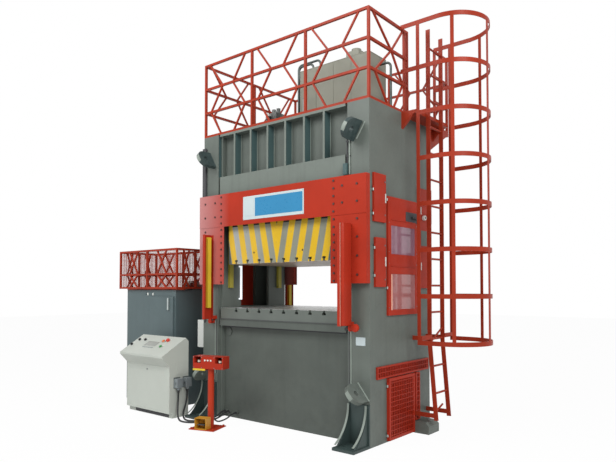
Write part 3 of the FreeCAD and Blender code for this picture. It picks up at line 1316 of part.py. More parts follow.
def make_power_unit():
    """Motor and pump inside the housing, and the valve manifold on its roof."""
    bench = block("motor_bench", ("motor_x - motor_radius", "motor_x + motor_length"),
                  ("unit_depth / 2 - motor_radius", "unit_depth / 2 + motor_radius"),
                  ("unit_base", "motor_z - motor_radius / 2"))
    motor = rod("motor_barrel", "x", ("motor_x", "unit_depth / 2", "motor_z"), "motor_length",
                "motor_radius")
    pump = rod("pump_barrel", "x", ("motor_x - pump_length", "unit_depth / 2", "motor_z"),
               "pump_length", "pump_radius")
    drive = fuse("motor_pump", [bench, motor, pump])
    middle_y = "manifold_front + manifold_depth / 2"
    plate = block("manifold_plate", ("manifold_left", "manifold_left + manifold_width"),
                  ("manifold_front", "manifold_front + manifold_depth"),
                  ("unit_height", "unit_height + manifold_height"))
    pieces = [plate]
    for index, factor in enumerate(PORT_SHARES):
        x = "manifold_left + manifold_width * %s" % factor
        pieces.append(rod("manifold_coil_%d" % index, "z",
                          (x, middle_y, "unit_height + manifold_height"), "solenoid_length",
                          "solenoid_radius"))
        pieces.append(rod("manifold_port_%d" % index, "y",
                          (x, "manifold_front - solenoid_length",
                           "unit_height + manifold_height / 2"),
                          "solenoid_length", "solenoid_radius"))
    return group("power_unit", [drive, fuse("manifold", pieces)])


# ---------------------------------------------------------------- control desk
SLOPE_CREST = "desk_nose_high + (desk_crest_y - desk_nose_y) * tan(desk_slope * 1deg)"


def on_slope(piece, x, along):
    """Stand a piece on the sloped desk top, at a distance up from the nose."""
    piece.Placement = Placement(Vector(), Rotation(X_AXIS, 1))
    return bind(piece, base_x=x, base_y="desk_nose_y + %s * cos(desk_slope * 1deg)" % along,
                base_z="desk_nose_high + %s * sin(desk_slope * 1deg)" % along, turn="desk_slope")


BUTTONS = [("desk_estop", "estop_x", "estop_along", "estop_radius", "estop_rise"),
           ("desk_push_orange", "push_orange_x", "push_orange_along", "button_radius", "button_rise"),
           ("desk_push_green", "push_green_x", "push_green_along", "button_radius", "button_rise")]
KNOBS = [("desk_knob_left", "knob_left_x", "knob_left_along"),
         ("desk_knob_middle", "knob_middle_x", "knob_middle_along"),
         ("desk_knob_right", "knob_right_x", "knob_right_along")]


def make_desk():
    """Folded desk with a sloped top, collars for its controls and a display frame."""
    foot = "desk_front + desk_plinth"
    outer = prism("desk_outer", "yz", [
        (foot, "0"), ("desk_rear", "0"), ("desk_rear", "desk_back_z"),
        ("desk_crest_y", SLOPE_CREST), ("desk_nose_y", "desk_nose_high"),
        ("desk_nose_y", "desk_nose_low"), ("desk_front", "desk_shelf"),
        ("desk_front", "desk_foot"), (foot, "desk_foot"),
    ], "desk_right - desk_left", "desk_left")
    inner = prism("desk_inner", "yz", [
        (foot + " + desk_wall", "desk_wall"), ("desk_rear - desk_wall", "desk_wall"),
        ("desk_rear - desk_wall", "desk_back_z - desk_mitre"),
        ("desk_crest_y", SLOPE_CREST + " - 2 * desk_mitre"),
        ("desk_nose_y + desk_wall", "desk_nose_high - desk_mitre"),
        ("desk_nose_y + desk_wall", "desk_nose_low + desk_mitre"),
        ("desk_front + desk_wall", "desk_shelf + desk_mitre"),
        ("desk_front + desk_wall", "desk_foot + desk_wall"),
        (foot + " + desk_wall", "desk_foot + desk_wall"),
    ], "desk_right - desk_left - 2 * desk_wall", "desk_left + desk_wall")
    shell = cut("desk_shell", outer, [inner])
    collars = []
    holes = []
    for name, x, along, radius, rise in BUTTONS:
        ring = cut(name + "_collar", rod(name + "_collar_out", "z", ("0", "0", "0"),
                                         "button_collar", radius + " + 2 * button_stem / 3"),
                   [rod(name + "_collar_in", "z", ("0", "0", "0"), "button_collar",
                        radius + " + button_play")])
        collars.append(on_slope(ring, x, along))
    for name, x, along in [item[:3] for item in BUTTONS] + KNOBS:
        hole = rod(name + "_hole", "z", ("0", "0", "-2 * desk_wall"), "4 * desk_wall",
                   "button_stem + button_play")
        holes.append(on_slope(group(name + "_well", [hole]), x, along))
    bezel = block("display_bezel", ("0", "display_right - display_left"),
                  ("0", "display_high - display_low"), ("-desk_wall / 4", "plate_sheet"))
    window = block("display_window", ("display_frame", "display_right - display_left - display_frame"),
                   ("display_frame", "display_high - display_low - display_frame"),
                   ("0", "2 * plate_sheet"))
    frame = on_slope(cut("display_frame_ring", bezel, [window]), "display_left", "display_low")
    side = block("desk_side_cover", ("desk_right", "desk_right + plate_sheet"),
                 ("side_plate_front", "side_plate_rear"), ("side_plate_bottom", "side_plate_top"))
    blank = cut("desk_blank", fuse("desk_weldment", [shell, frame, side]), holes)
    return fuse("desk_housing", [blank] + collars)


def make_desk_controls():
    """Push buttons that travel and selector knobs that turn, each with its own stem."""
    controls = []
    for name, x, along, radius, rise in BUTTONS:
        lift = "button_travel + cover_gap"
        cap = rod(name + "_cap", "z", ("0", "0", lift), rise, radius)
        stem = rod(name + "_stem", "z", ("0", "0", "-stem_below"), "stem_below + " + lift,
                   "button_stem")
        controls.append(on_slope(fuse(name, [cap, stem]), x, along))
    for name, x, along in KNOBS:
        dial = rod(name + "_dial", "z", ("0", "0", "cover_gap"), "desk_knob_rise / 2",
                   "desk_knob_radius")
        grip = block(name + "_grip", ("-desk_knob_radius / 3", "desk_knob_radius / 3"),
                     ("-desk_knob_radius", "desk_knob_radius"), ("cover_gap", "desk_knob_rise"))
        stem = rod(name + "_stem", "z", ("0", "0", "-stem_below"), "stem_below + cover_gap",
                   "button_stem")
        controls.append(on_slope(fuse(name, [dial, grip, stem]), x, along))
    return controls


# ---------------------------------------------------------------- connectors and cables
PLUGS = [("front", "plug_front_y"), ("rear", "plug_rear_y")]


def make_connectors():
    """Two hooded connectors on the right side of the desk."""
    hoods = []
    for name, y in PLUGS:
        hood = block("plug_hood_" + name, ("desk_right", "desk_right + plug_length"),
                     (y + " - plug_width / 2", y + " + plug_width / 2"),
                     ("plug_low + plug_neck", "plug_high"))
        neck = rod("plug_neck_" + name, "z", ("desk_right + plug_length / 2", y, "plug_low"),
                   "plug_neck", "gland_radius")
        hoods.append(fuse("plug_" + name, [hood, neck]))
    return group("desk_connectors", hoods)


FLOOR_LIFT = 12
FRONT_CABLE = [
    (-1345, -376, 255), (-1320, -405, 150), (-1265, -450, 60), (-1180, -490, FLOOR_LIFT),
    (-1080, -500, FLOOR_LIFT), (-985, -465, FLOOR_LIFT), (-925, -385, FLOOR_LIFT),
    (-900, -280, FLOOR_LIFT), (-890, -170, FLOOR_LIFT), (-888, -60, 38), (-895, 5, 70),
]
REAR_CABLE = [
    (-1345, -234, 250), (-1330, -275, 150), (-1290, -345, 70), (-1215, -395, 22),
    (-1125, -425, FLOOR_LIFT), (-1035, -400, FLOOR_LIFT), (-985, -320, FLOOR_LIFT),
    (-968, -215, FLOOR_LIFT), (-960, -105, 20), (-955, -45, 42), (-960, 10, 70),
]
PEDESTAL_CABLE = [
    (-718, -432, 600), (-713, -418, 500), (-710, -400, 390), (-722, -375, 280),
    (-748, -340, 160), (-768, -292, 60), (-770, -230, FLOOR_LIFT), (-768, -150, FLOOR_LIFT),
    (-758, -70, 32), (-760, 5, 70),
]


def cable_tube(label, start, route, gland, radius):
    """Cable from its start along its route to a gland on the bed; prints its bend radii."""
    x, z = gland
    end = Vector(evaluate(x), size("bed_recess") - size("gland_length"), evaluate(z))
    points = [start] + [Vector(*place) for place in route] + [end]
    bends = []
    length = 0
    for before, corner, after in zip(points, points[1:], points[2:]):
        turn = math.pi - (before - corner).getAngle(after - corner)
        shorter = min((before - corner).Length, (after - corner).Length)
        bends.append(0.45 * shorter / math.tan(turn / 2))
    for before, after in zip(points, points[1:]):
        length += (after - before).Length
    print("%s: length %.0f, bend radii %s" % (label, length, [round(bend) for bend in bends]))
    return tube_along(points, radius)


def make_desk_cables():
    """Two cables from the desk connectors to the glands on the bed."""
    x = size("desk_right") + size("plug_length") / 2
    tubes = []
    routes = [(FRONT_CABLE, "plug_front_y", CABLE_GLANDS[1]),
              (REAR_CABLE, "plug_rear_y", CABLE_GLANDS[0])]
    for route, y, gland in routes:
        start = Vector(x, size(y), size("plug_low"))
        tubes.append(cable_tube("desk cable", start, route, gland, size("cable_radius")))
    return feature("desk_cables", Part.makeCompound(tubes))


# ---------------------------------------------------------------- two-hand pedestal
def stand(name, pieces):
    """Pieces made about the pedestal's own centre, set and turned on the floor."""
    together = group(name, pieces)
    together.Placement = Placement(Vector(), Rotation(Z_AXIS, 1))
    return bind(together, base_x="pedestal_x", base_y="pedestal_y", turn="pedestal_turn")


def make_pedestal_stand():
    """Base plate with round post and a flange for the head."""
    plate = block("stand_plate", ("-base_width / 2", "base_width / 2"),
                  ("-base_length / 2", "base_length / 2"), ("0", "base_thickness"))
    post = rod("stand_post", "z", ("post_offset_x", "post_offset_y", "base_thickness"),
               "head_bottom - base_thickness", "post_radius")
    pieces = [plate, post]
    for index, (x, y) in enumerate((("-", "-"), ("", "-"), ("", ""), ("-", ""))):
        pieces.append(rod("stand_stud_%d" % index, "z",
                          ("%s(base_width / 2 - 2 * base_stud)" % x,
                           "%s(base_length / 2 - 2 * base_stud)" % y, "base_thickness"),
                          "base_stud_rise", "base_stud"))
    return stand("pedestal_stand", [fuse("stand_weldment", pieces)])


def palm_place(side):
    """Place of a palm button's axis on the head."""
    return ("post_offset_x %s palm_spacing / 2" % side, "post_offset_y - head_depth / 6")


def make_pedestal_head():
    """Sheet head with a hooded recess over each palm button."""
    x = ("post_offset_x - head_width / 2", "post_offset_x + head_width / 2")
    y = ("post_offset_y - head_depth / 2", "post_offset_y + head_depth / 2")
    shelf = "(head_bottom + head_shelf)"
    outside = block("head_outside", x, y, ("head_bottom", "head_top"))
    inside = block("head_inside", ("%s + head_wall" % x[0], "%s - head_wall" % x[1]),
                   ("%s + head_wall" % y[0], "%s - head_wall" % y[1]),
                   ("head_bottom + head_wall", shelf + " - head_wall"))
    middle = block("head_middle", ("post_offset_x - palm_spacing / 2 + palm_hood + head_wall",
                                   "post_offset_x + palm_spacing / 2 - palm_hood - head_wall"),
                   ("%s + head_wall" % y[0], "%s - head_wall" % y[1]),
                   (shelf + " - 2 * head_wall", "head_top - head_wall"))
    tools = [inside, middle]
    for index, side in enumerate(("-", "+")):
        centre, depth = palm_place(side)
        tools.append(block("head_recess_%d" % index, (centre + " - palm_hood", centre + " + palm_hood"),
                           (y[0] + " - head_wall", y[1] + " - head_wall"),
                           (shelf, "head_top - head_wall")))
        tools.append(rod("head_hole_%d" % index, "z", (centre, depth, "head_bottom + head_wall"),
                         "head_shelf", "button_stem + button_play"))
    gland = rod("head_gland", "z", ("hose_x", "hose_y", "head_bottom - hose_gland"), "hose_gland",
                "hose_gland_radius")
    tray = block("head_tray", (x[0], "post_offset_x - post_radius"), (y[0], y[1]),
                 ("head_bottom - head_tray_depth", "head_bottom"))
    tray_clear = rod("head_tray_clear", "z", ("hose_x", "hose_y", "head_bottom - tray_drop"),
                     "tray_drop", "hose_gland_radius")
    shell = cut("head_shell", outside, tools)
    return stand("pedestal_head", [fuse("head_weldment", [shell, gland, cut(
        "head_tray_cut", tray, [tray_clear])])])


def make_palm_buttons():
    """Palm buttons with stems that slide in the head."""
    buttons = []
    for name, side in (("palm_button_left", "-"), ("palm_button_right", "+")):
        x, y = palm_place(side)
        shelf = "head_bottom + head_shelf"
        cap = rod(name + "_cap", "z", (x, y, shelf + " + button_travel + cover_gap"),
                  "palm_rise", "palm_radius")
        stem = rod(name + "_stem", "z", (x, y, shelf + " - stem_below"),
                   "stem_below + button_travel + cover_gap", "button_stem")
        buttons.append(stand(name, [fuse(name + "_piece", [cap, stem])]))
    return buttons


def make_foot_pedal():
    """Hooded foot switch on the base plate, and the treadle inside it."""
    x = ("pedal_offset_x - pedal_width / 2", "pedal_offset_x + pedal_width / 2")
    y = ("pedal_offset_y - pedal_depth / 2", "pedal_offset_y + pedal_depth / 2")
    z = ("base_thickness", "base_thickness + pedal_height")
    hood = block("pedal_outside", x, y, z)
    space = block("pedal_inside", ("%s + pedal_wall" % x[0], "%s - pedal_wall" % x[1]),
                  ("%s - pedal_wall" % y[0], "%s - pedal_wall" % y[1]),
                  ("%s + pedal_wall" % z[0], "%s - pedal_wall" % z[1]))
    pivot_y = "pedal_offset_y + pedal_depth / 2 - 4 * pedal_wall"
    pivot_z = "base_thickness + treadle_rise"
    pin_hole = rod("pedal_pin_hole", "x", (x[0], pivot_y, pivot_z), "pedal_width",
                   "treadle_pin + hinge_play")
    housing = stand("foot_pedal_housing", [cut("pedal_hood", hood, [space, pin_hole])])
    plate = block("treadle_plate", ("-treadle_width / 2", "treadle_width / 2"),
                  ("-treadle_length", "0"), ("-treadle_thickness / 2", "treadle_thickness / 2"))
    pin = rod("treadle_pin_bar", "x", ("-pedal_width / 2", "0", "0"), "pedal_width", "treadle_pin")
    piece = group("treadle_set", [fuse("treadle_piece", [plate, pin])])
    piece.Placement = Placement(Vector(), Rotation(X_AXIS, -1))
    bind(piece, base_x="pedal_offset_x", base_y=pivot_y, base_z=pivot_z, turn="-treadle_tilt")
    return [housing, stand("foot_treadle", [piece])]


def make_pedestal_cable():
    """Cable from the head down behind the post to its gland on the bed."""
    turn = Rotation(Z_AXIS, size("pedestal_turn"))
    local = Vector(size("hose_x"), size("hose_y"), size("head_bottom") - size("hose_gland"))
    start = Vector(size("pedestal_x"), size("pedestal_y"), 0) + turn.multVec(local)
    route = [(start.x, start.y, PEDESTAL_CABLE[0][2])] + PEDESTAL_CABLE[1:]
    tube = cable_tube("pedestal cable", start, route, CABLE_GLANDS[2], size("hose_radius"))
    return feature("pedestal_cable", tube)


# ---------------------------------------------------------------- assembly
nodes = make_uprights()
nodes += [make_crown(), make_bed(), make_bolster(), make_slide(), make_rods(), make_barrels()]
nodes += [make_gibs(), make_front_feet(), make_rear_feet(), make_lugs(), make_trunking()]
nodes += [make_junction_box(), make_lamps(), make_blank_plates()]
nodes += make_guards()
nodes += make_railings()
nodes += [make_ladder(), make_cage(), make_landings()]
nodes += [make_tank(), make_breather(), make_valves(), make_pipes()]
nodes += make_side_covers()
nodes += [make_cabinet(), make_cabinet_door(), make_cabinet_handle(), make_unit_guard()]
nodes += [make_power_unit(), make_desk()]
nodes += make_desk_controls()
nodes += [make_connectors(), make_desk_cables(), make_pedestal_stand(), make_pedestal_head()]
nodes += make_palm_buttons()
nodes += make_foot_pedal()
nodes.append(make_pedestal_cable())
doc.recompute()

for thing in doc.Objects:
    if "Invalid" in thing.State or "Error" in thing.State:
        raise RuntimeError("%s did not build: %s" % (thing.Name, thing.State))
for node in nodes:
    shape = node.Shape
    if shape.isNull() or not shape.isValid() or not shape.Solids:
        raise RuntimeError("%s has no valid solid" % node.Label)
    if len({other.Label for other in nodes}) != len(nodes):
        raise RuntimeError("two sub-parts share a label")

os.makedirs("parts", exist_ok=True)
for node in nodes:
    node.Shape.exportStep("parts/%s.step" % node.Label)
print("%d nodes, %d solids" % (len(nodes), sum(len(node.Shape.Solids) for node in nodes)))
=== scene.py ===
"""Finishes for a hydraulic press with its power unit, control desk and two-hand pedestal."""
import json
import math

import bmesh
import bpy
from mathutils import Matrix, Vector


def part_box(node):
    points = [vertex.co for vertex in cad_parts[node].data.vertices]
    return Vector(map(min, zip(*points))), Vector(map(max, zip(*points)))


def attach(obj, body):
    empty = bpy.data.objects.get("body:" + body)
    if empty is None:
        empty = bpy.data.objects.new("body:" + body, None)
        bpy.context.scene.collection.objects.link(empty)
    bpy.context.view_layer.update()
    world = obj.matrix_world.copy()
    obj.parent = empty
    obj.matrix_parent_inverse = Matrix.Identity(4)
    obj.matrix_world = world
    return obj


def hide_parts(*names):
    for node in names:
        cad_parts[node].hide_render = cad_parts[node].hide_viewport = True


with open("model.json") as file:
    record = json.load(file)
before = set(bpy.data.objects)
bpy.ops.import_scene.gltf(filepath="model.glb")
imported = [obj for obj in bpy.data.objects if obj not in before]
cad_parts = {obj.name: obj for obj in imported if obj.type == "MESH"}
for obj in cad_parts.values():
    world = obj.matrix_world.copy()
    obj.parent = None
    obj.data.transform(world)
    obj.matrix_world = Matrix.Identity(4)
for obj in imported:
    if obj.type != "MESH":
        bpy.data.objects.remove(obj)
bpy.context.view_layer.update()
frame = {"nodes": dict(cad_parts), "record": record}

bl_info = {
    "name": "Hydraulic Press Finish",
    "version": (1, 0, 0),
    "blender": (4, 5, 0),
    "location": "View3D > Sidebar > Press",
    "description": "Paint, wire mesh, cables and small fittings of a hydraulic press",
    "category": "Object",
}

STATIC = "frame"


# --- sizes and colours
def colour_property(name, description, default):
    """Colour that the user can change."""
    return bpy.props.FloatVectorProperty(
        name=name, description=description, subtype="COLOR", size=3, min=0, max=1, default=default)


def length_property(name, description, default):
    """Length that the user can change."""
    return bpy.props.FloatProperty(
        name=name, description=description, subtype="DISTANCE", unit="LENGTH", min=0, default=default)


class PressPaints(bpy.types.PropertyGroup):
    """Colours of the press."""
    body: colour_property("Body", "Grey-green enamel of the press body", (0.124, 0.143, 0.126))
    guard: colour_property("Guard", "Red enamel of guards, railing and ladder", (0.385, 0.03, 0.013))
    stripe: colour_property("Stripe", "Yellow of the slide's warning bands", (0.64, 0.4, 0.012))
    between: colour_property("Between", "Grey between the warning bands", (0.22, 0.225, 0.175))
    desk: colour_property("Desk", "Light grey enamel of the control desk", (0.5, 0.53, 0.48))
    unit: colour_property("Power unit", "Blue-grey enamel of the power unit", (0.098, 0.135, 0.14))
    yellow: colour_property("Signal yellow", "Light curtains and foot pedal", (0.66, 0.48, 0.035))
    tank: colour_property("Tank", "Olive grey enamel of the tank on the crown", (0.262, 0.262, 0.212))
    sign: colour_property("Sign field", "Blue of the bare field on the header", (0.03, 0.22, 0.42))
    sheath: colour_property("Cable", "Black sheath of the cables", (0.012, 0.013, 0.014))


class PressFittings(bpy.types.PropertyGroup):
    """Sizes of the small fittings."""
    mesh_cell: length_property("Mesh cell", "Opening of the wire mesh on the power unit", 0.02)
    mesh_wire: length_property("Mesh wire", "Thickness of the mesh wire", 0.003)
    door_cell: length_property("Door mesh cell", "Opening of the wire mesh of the low door", 0.009)
    weld_radius: length_property("Weld radius", "Half width of the visible weld beads", 0.006)


class StageSettings(bpy.types.PropertyGroup):
    """Camera and light."""
    camera_place: bpy.props.FloatVectorProperty(
        name="Camera", description="Place of the camera", subtype="XYZ", unit="LENGTH", size=3,
        default=(4.5924, -5.004, 1.6463))
    heading: bpy.props.FloatProperty(
        name="Heading", description="Turn of the camera about the vertical", subtype="ANGLE",
        default=math.radians(39.41))
    tilt: bpy.props.FloatProperty(
        name="Tilt", description="Upward tilt of the camera", subtype="ANGLE",
        default=math.radians(1.805))
    lens: bpy.props.FloatProperty(
        name="Lens", description="Focal length in millimetres", default=33.52)
    rise: bpy.props.FloatProperty(
        name="Rise", description="Vertical lens shift", default=0.064)
    key: bpy.props.FloatProperty(
        name="Key", description="Power of the main soft light in watts", default=370.0)
    fill: bpy.props.FloatProperty(
        name="Fill", description="Power of the side soft light in watts", default=780.0)
    ambient: bpy.props.FloatProperty(
        name="Ambient", description="Strength of the even light from all round", default=0.42)


# --- shader maths
def math_method(operation, swapped=False):
    """Method of Wire that adds a Math node on the wire and another value."""
    def method(self, other):
        return self.math(operation, *((other, self) if swapped else (self, other)))
    return method


class Wire:
    """Socket of a shader, whose operators add Math nodes."""

    def __init__(self, book, socket):
        self.book = book
        self.socket = socket

    def math(self, operation, *values):
        """Math node on values."""
        return self.book.node("ShaderNodeMath", {"operation": operation}, *values)

    __add__ = math_method("ADD")
    __sub__ = math_method("SUBTRACT")
    __rsub__ = math_method("SUBTRACT", swapped=True)
    __mul__ = math_method("MULTIPLY")
    __truediv__ = math_method("DIVIDE")
    __mod__ = math_method("FLOORED_MODULO")
    __gt__ = math_method("GREATER_THAN")
    __lt__ = math_method("LESS_THAN")

    def __abs__(self):
        return self.math("ABSOLUTE", self)

    def clamped(self):
        """The value held between 0 and 1."""
        return self.math("MINIMUM", self.math("MAXIMUM", self, 0.0), 1.0)


class ShaderBook:
    """Nodes of one material or world."""

    def __init__(self, name, kind="materials"):
        self.owner = getattr(bpy.data, kind).new(name)
        self.owner.use_nodes = True
        self.tree = self.owner.node_tree
        self.shader = self.tree.nodes.get("Principled BSDF")

    def node(self, kind, settings=None, *values, output=0, **named):
        """One node of a type with its settings, and the values or links of its sockets."""
        made = self.tree.nodes.new(kind)
        for key, value in (settings or {}).items():
            if key == "stops":
                self.set_stops(made.color_ramp, value)
            else:
                setattr(made, key, value)
        for index, value in enumerate(values):
            self.feed(made.inputs[index], value)
        for key, value in named.items():
            self.feed(made.inputs[key.replace("_", " ")], value)
        return Wire(self, made.outputs[output])

    def set_stops(self, ramp, stops):
        """Grey stops of a colour ramp."""
        while len(ramp.elements) < len(stops):
            ramp.elements.new(1.0)
        for element, (place, grey) in zip(ramp.elements, stops):
            element.position = place
            element.color = (grey, grey, grey, 1)

    def feed(self, socket, value):
        """Link a wire to a socket, or set the socket's value."""
        if isinstance(value, Wire):
            self.tree.links.new(value.socket, socket)
        elif socket.type == "RGBA" and len(value) == 3:
            socket.default_value = (*value, 1)
        else:
            socket.default_value = value

    def place(self):
        """Object coordinates."""
        return self.node("ShaderNodeTexCoord", output=3)

    def axes(self):
        """The three Object coordinates as values."""
        split = self.node("ShaderNodeSeparateXYZ", None, self.place()).socket.node
        return [Wire(self, socket) for socket in split.outputs]

    def stretched(self, scale):
        """Object coordinates scaled along each axis."""
        return self.node("ShaderNodeMapping", None, Vector=self.place(), Scale=scale)

    def noise(self, size, detail=3.0, roughness=0.5, vector=None):
        """Noise whose lumps have a size in metres."""
        return self.node("ShaderNodeTexNoise", None, vector or self.place(), Scale=1 / size,
                         Detail=detail, Roughness=roughness)

    def ramp(self, value, *stops):
        """Grey ramp of a value."""
        return self.node("ShaderNodeValToRGB", {"stops": stops}, value)

    def clouds(self, size):
        """Soft clouds from 0 to 1."""
        return self.ramp(self.noise(size, detail=4.0), (0.3, 0.0), (0.7, 1.0))

    def mix(self, share, first, second):
        """Two colours mixed by a share."""
        made = self.node("ShaderNodeMix", {"data_type": "RGBA"}, output=2)
        for index, value in ((0, share), (6, first), (7, second)):
            self.feed(made.socket.node.inputs[index], value)
        return made

    def clouded(self, size, colour, low, high):
        """A colour that clouds make darker and lighter."""
        return self.mix(self.clouds(size), shade(colour, low), shade(colour, high))

    def bump(self, height, strength, distance):
        """Normal bent by a height."""
        return self.node("ShaderNodeBump", None, Height=height, Strength=strength,
                         Distance=distance)

    def peel(self, size=0.004):
        """Normal of sprayed paint, faintly uneven."""
        return self.bump(self.noise(size, detail=2.0), 0.1, 0.0006)

    def finish(self, **inputs):
        """Set the shader's sockets and give the material."""
        for key, value in inputs.items():
            self.feed(self.shader.inputs[key.replace("_", " ")], value)
        return self.owner


def shade(colour, factor):
    """Colour made darker or lighter."""
    return tuple(min(1.0, channel * factor) for channel in colour)


# --- materials
# Depth within which a face counts as front, for the painted light on the crown's front faces.
LIT_FRONT_DEPTH = 0.003
DUST_HEIGHT = 0.9
# Painted glare on enamel: where it starts towards the left end, how far it reaches, and its pink.
GLARE_START = -0.75
GLARE_REACH = 0.56
GLARE_PINK = (0.56, 0.33, 0.33)


def paint(name, factor):
    """One of the scene's paints, made darker or lighter."""
    return shade(getattr(bpy.context.scene.press_paints, name), factor)


def enamel(name, colour, roughness=0.36, mottle=0.1, grime=0.25, grime_colour=(0.03, 0.03, 0.027),
           streak=0.0, shine=0.3, haze=0.0, front=1.0):
    """Sprayed enamel with faint mottling and more dust near the floor.

    A painted glare may pale it towards the left end, and its front face may be painted brighter as
    painted light.
    """
    book = ShaderBook(name)
    x, y, z = book.axes()
    tone = book.clouded(0.45, colour, 1 - mottle, 1 + mottle)
    # painted light: the front face made brighter than the other faces
    if front != 1.0:
        tone = book.mix(y < LIT_FRONT_DEPTH, tone, shade(colour, front))
    # painted glare: the paint paled to pink towards the left end
    if haze:
        tone = book.mix(((GLARE_START - x) / GLARE_REACH).clamped() * haze, tone, GLARE_PINK)
    runs = book.noise(0.09, detail=4.0, vector=book.stretched((1.0, 1.0, 0.08)))
    dirt = book.noise(0.2, detail=6.0, roughness=0.65)
    low = (1.0 - z / DUST_HEIGHT).clamped()
    patches = book.ramp(dirt, (0.45, 0.0), (0.8, 1.0)) * (low * 0.7 + 0.3) * grime
    soiled = (patches + book.ramp(runs, (0.52, 0.0), (0.75, 1.0)) * streak).clamped()
    fine = book.ramp(book.noise(0.03), (0.3, roughness - 0.05), (0.7, roughness + 0.07))
    return book.finish(Base_Color=book.mix(soiled, tone, grime_colour),
                       Roughness=fine + soiled * 0.25, Specular_IOR_Level=shine,
                       Normal=book.peel())


# The slide's sloped bands: their pitch, width, start, lean and middle, and how far they reach.
BAND_PITCH = 0.189
BAND_WIDTH = 0.096
BAND_START = 0.088
BAND_LEAN = 0.2
BAND_MIDDLE = -0.008
BAND_LIMIT = 0.768
SHADOW_LINE = 2.424
SHADOW_BLACK = (0.02, 0.02, 0.02)
UNDERSIDE_TAN = (0.42, 0.34, 0.27)
# Painted glare on the slide: where it starts towards the left end, how far it reaches, and the grey
# and yellow it pales to.
SLIDE_GLARE_START = -0.05
SLIDE_GLARE_REACH = 0.75
SLIDE_GLARE_GREY = (0.5, 0.51, 0.53)
SLIDE_GLARE_YELLOW = (0.76, 0.5, 0.16)


def banded_enamel(name, stripe):
    """Slide enamel with sloped yellow bands that meet in the middle of the front face; a painted
    glare pales it towards the left end, a painted shadow darkens the grey under the header, and the
    body paint beside the bands is darkened as painted shade.
    """
    _, front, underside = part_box("ram_slide")[0]
    book = ShaderBook(name)
    x, y, z = book.axes()
    across = abs(x - BAND_MIDDLE) - (z - underside) * BAND_LEAN
    inner = across < BAND_LIMIT
    band = ((across + BAND_START + 4 * BAND_PITCH) % BAND_PITCH < BAND_WIDTH) * inner
    cloud = book.clouds(0.3)
    # painted glare: grey and yellow paled towards the left end
    haze = ((SLIDE_GLARE_START - x) / SLIDE_GLARE_REACH).clamped()
    grey = book.mix(cloud, paint("between", 0.9), paint("between", 1.1))
    grey = book.mix(haze * 0.55, grey, SLIDE_GLARE_GREY)
    grey = book.mix(z > SHADOW_LINE, grey, SHADOW_BLACK)
    yellow = book.mix(cloud, shade(stripe, 0.92), shade(stripe, 1.06))
    yellow = book.mix(haze * 0.2, yellow, SLIDE_GLARE_YELLOW)
    # beside the bands the body paint is darkened as painted shade
    banded = book.mix(inner, paint("body", 0.75), book.mix(band, grey, yellow))
    faced = book.mix(y < front + 0.004, paint("between", 1.25), banded)
    colour = book.mix(z < underside + 0.002, faced, UNDERSIDE_TAN)
    wear = book.ramp(book.noise(0.06, detail=6.0, roughness=0.7), (0.6, 0.0), (0.72, 0.45))
    return book.finish(Base_Color=book.mix(wear, colour, paint("body", 0.9)),
                       Roughness=book.noise(0.02, detail=2.0) * 0.15 + 0.32, Specular_IOR_Level=0.3,
                       Normal=book.peel(0.005))


def machined(name, colour, roughness=0.32, grain=(0.02, 1.0, 1.0), oil=0.25):
    """Ground or milled steel with fine tool lines and a film of oil."""
    book = ShaderBook(name)
    lines = book.noise(0.004, detail=4.0, vector=book.stretched(grain))
    stained = book.ramp(book.noise(0.15, detail=5.0), (0.45, 0.0), (0.8, 1.0)) * oil
    streaks = book.ramp(lines, (0.3, 0.0), (0.7, 1.0))
    tone = book.mix(streaks, shade(colour, 0.85), shade(colour, 1.12))
    return book.finish(Base_Color=book.mix(stained, tone, shade(colour, 0.45)), Metallic=1.0,
                       Roughness=lines * 0.2 + (roughness - 0.1),
                       Normal=book.bump(lines, 0.12, 0.0004))


def planed_paint(name, colour, bare):
    """Painted plate whose machined upper face is bare and bright."""
    book = ShaderBook(name)
    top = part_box("bolster_plate")[1][2]
    lines = book.noise(0.004, detail=4.0, vector=book.stretched((1.0, 0.02, 1.0)))
    painted = book.clouded(0.35, colour, 0.88, 1.1)
    steel = book.mix(lines, shade(bare, 0.8), shade(bare, 1.15))
    face = book.axes()[2] > top - 0.001
    return book.finish(Base_Color=book.mix(face, painted, steel), Metallic=face * 0.9,
                       Roughness=lines * 0.15 + 0.34 - face * 0.05,
                       Normal=book.bump(lines, 0.1, 0.0004))


# Painted highlight on each lug's nose in front of the tip depth; painted shade on the lugs above
# their height, in two dark tones.
LUG_HIGHLIGHT_TIP = -0.229
UPPER_LUGS = 2.0
UPPER_LUG_SHADE_DARK = (0.03, 0.048, 0.048)
UPPER_LUG_SHADE_LIGHT = (0.055, 0.078, 0.076)


def lug_paint(name, colour):
    """Enamel of the lifting lugs: the upper pair nearly black with painted shade, all with a painted
    highlight on the nose.
    """
    book = ShaderBook(name)
    _, y, z = book.axes()
    cloud = book.clouds(0.05)
    light = book.mix(cloud, shade(colour, 0.85), shade(colour, 1.1))
    dark = book.mix(cloud, UPPER_LUG_SHADE_DARK, UPPER_LUG_SHADE_LIGHT)
    # painted shade on the upper lugs, painted highlight on every nose
    tone = book.mix(y < LUG_HIGHLIGHT_TIP, book.mix(z > UPPER_LUGS, light, dark), shade(colour, 2.0))
    return book.finish(Base_Color=tone, Roughness=0.45, Specular_IOR_Level=0.3,
                       Normal=book.peel())


def moulded(name, colour, roughness=0.45, strength=0.2):
    """Moulded plastic or rubber with a fine grain and a little dust."""
    book = ShaderBook(name)
    grains = book.noise(0.002, detail=2.0)
    dust = book.ramp(book.noise(0.04, detail=4.0), (0.5, 0.0), (0.9, 0.35))
    return book.finish(Base_Color=book.mix(dust, colour, shade(colour, 1.5)),
                       Roughness=grains * 0.15 + (roughness - 0.07),
                       Normal=book.bump(grains, strength, 0.0003))


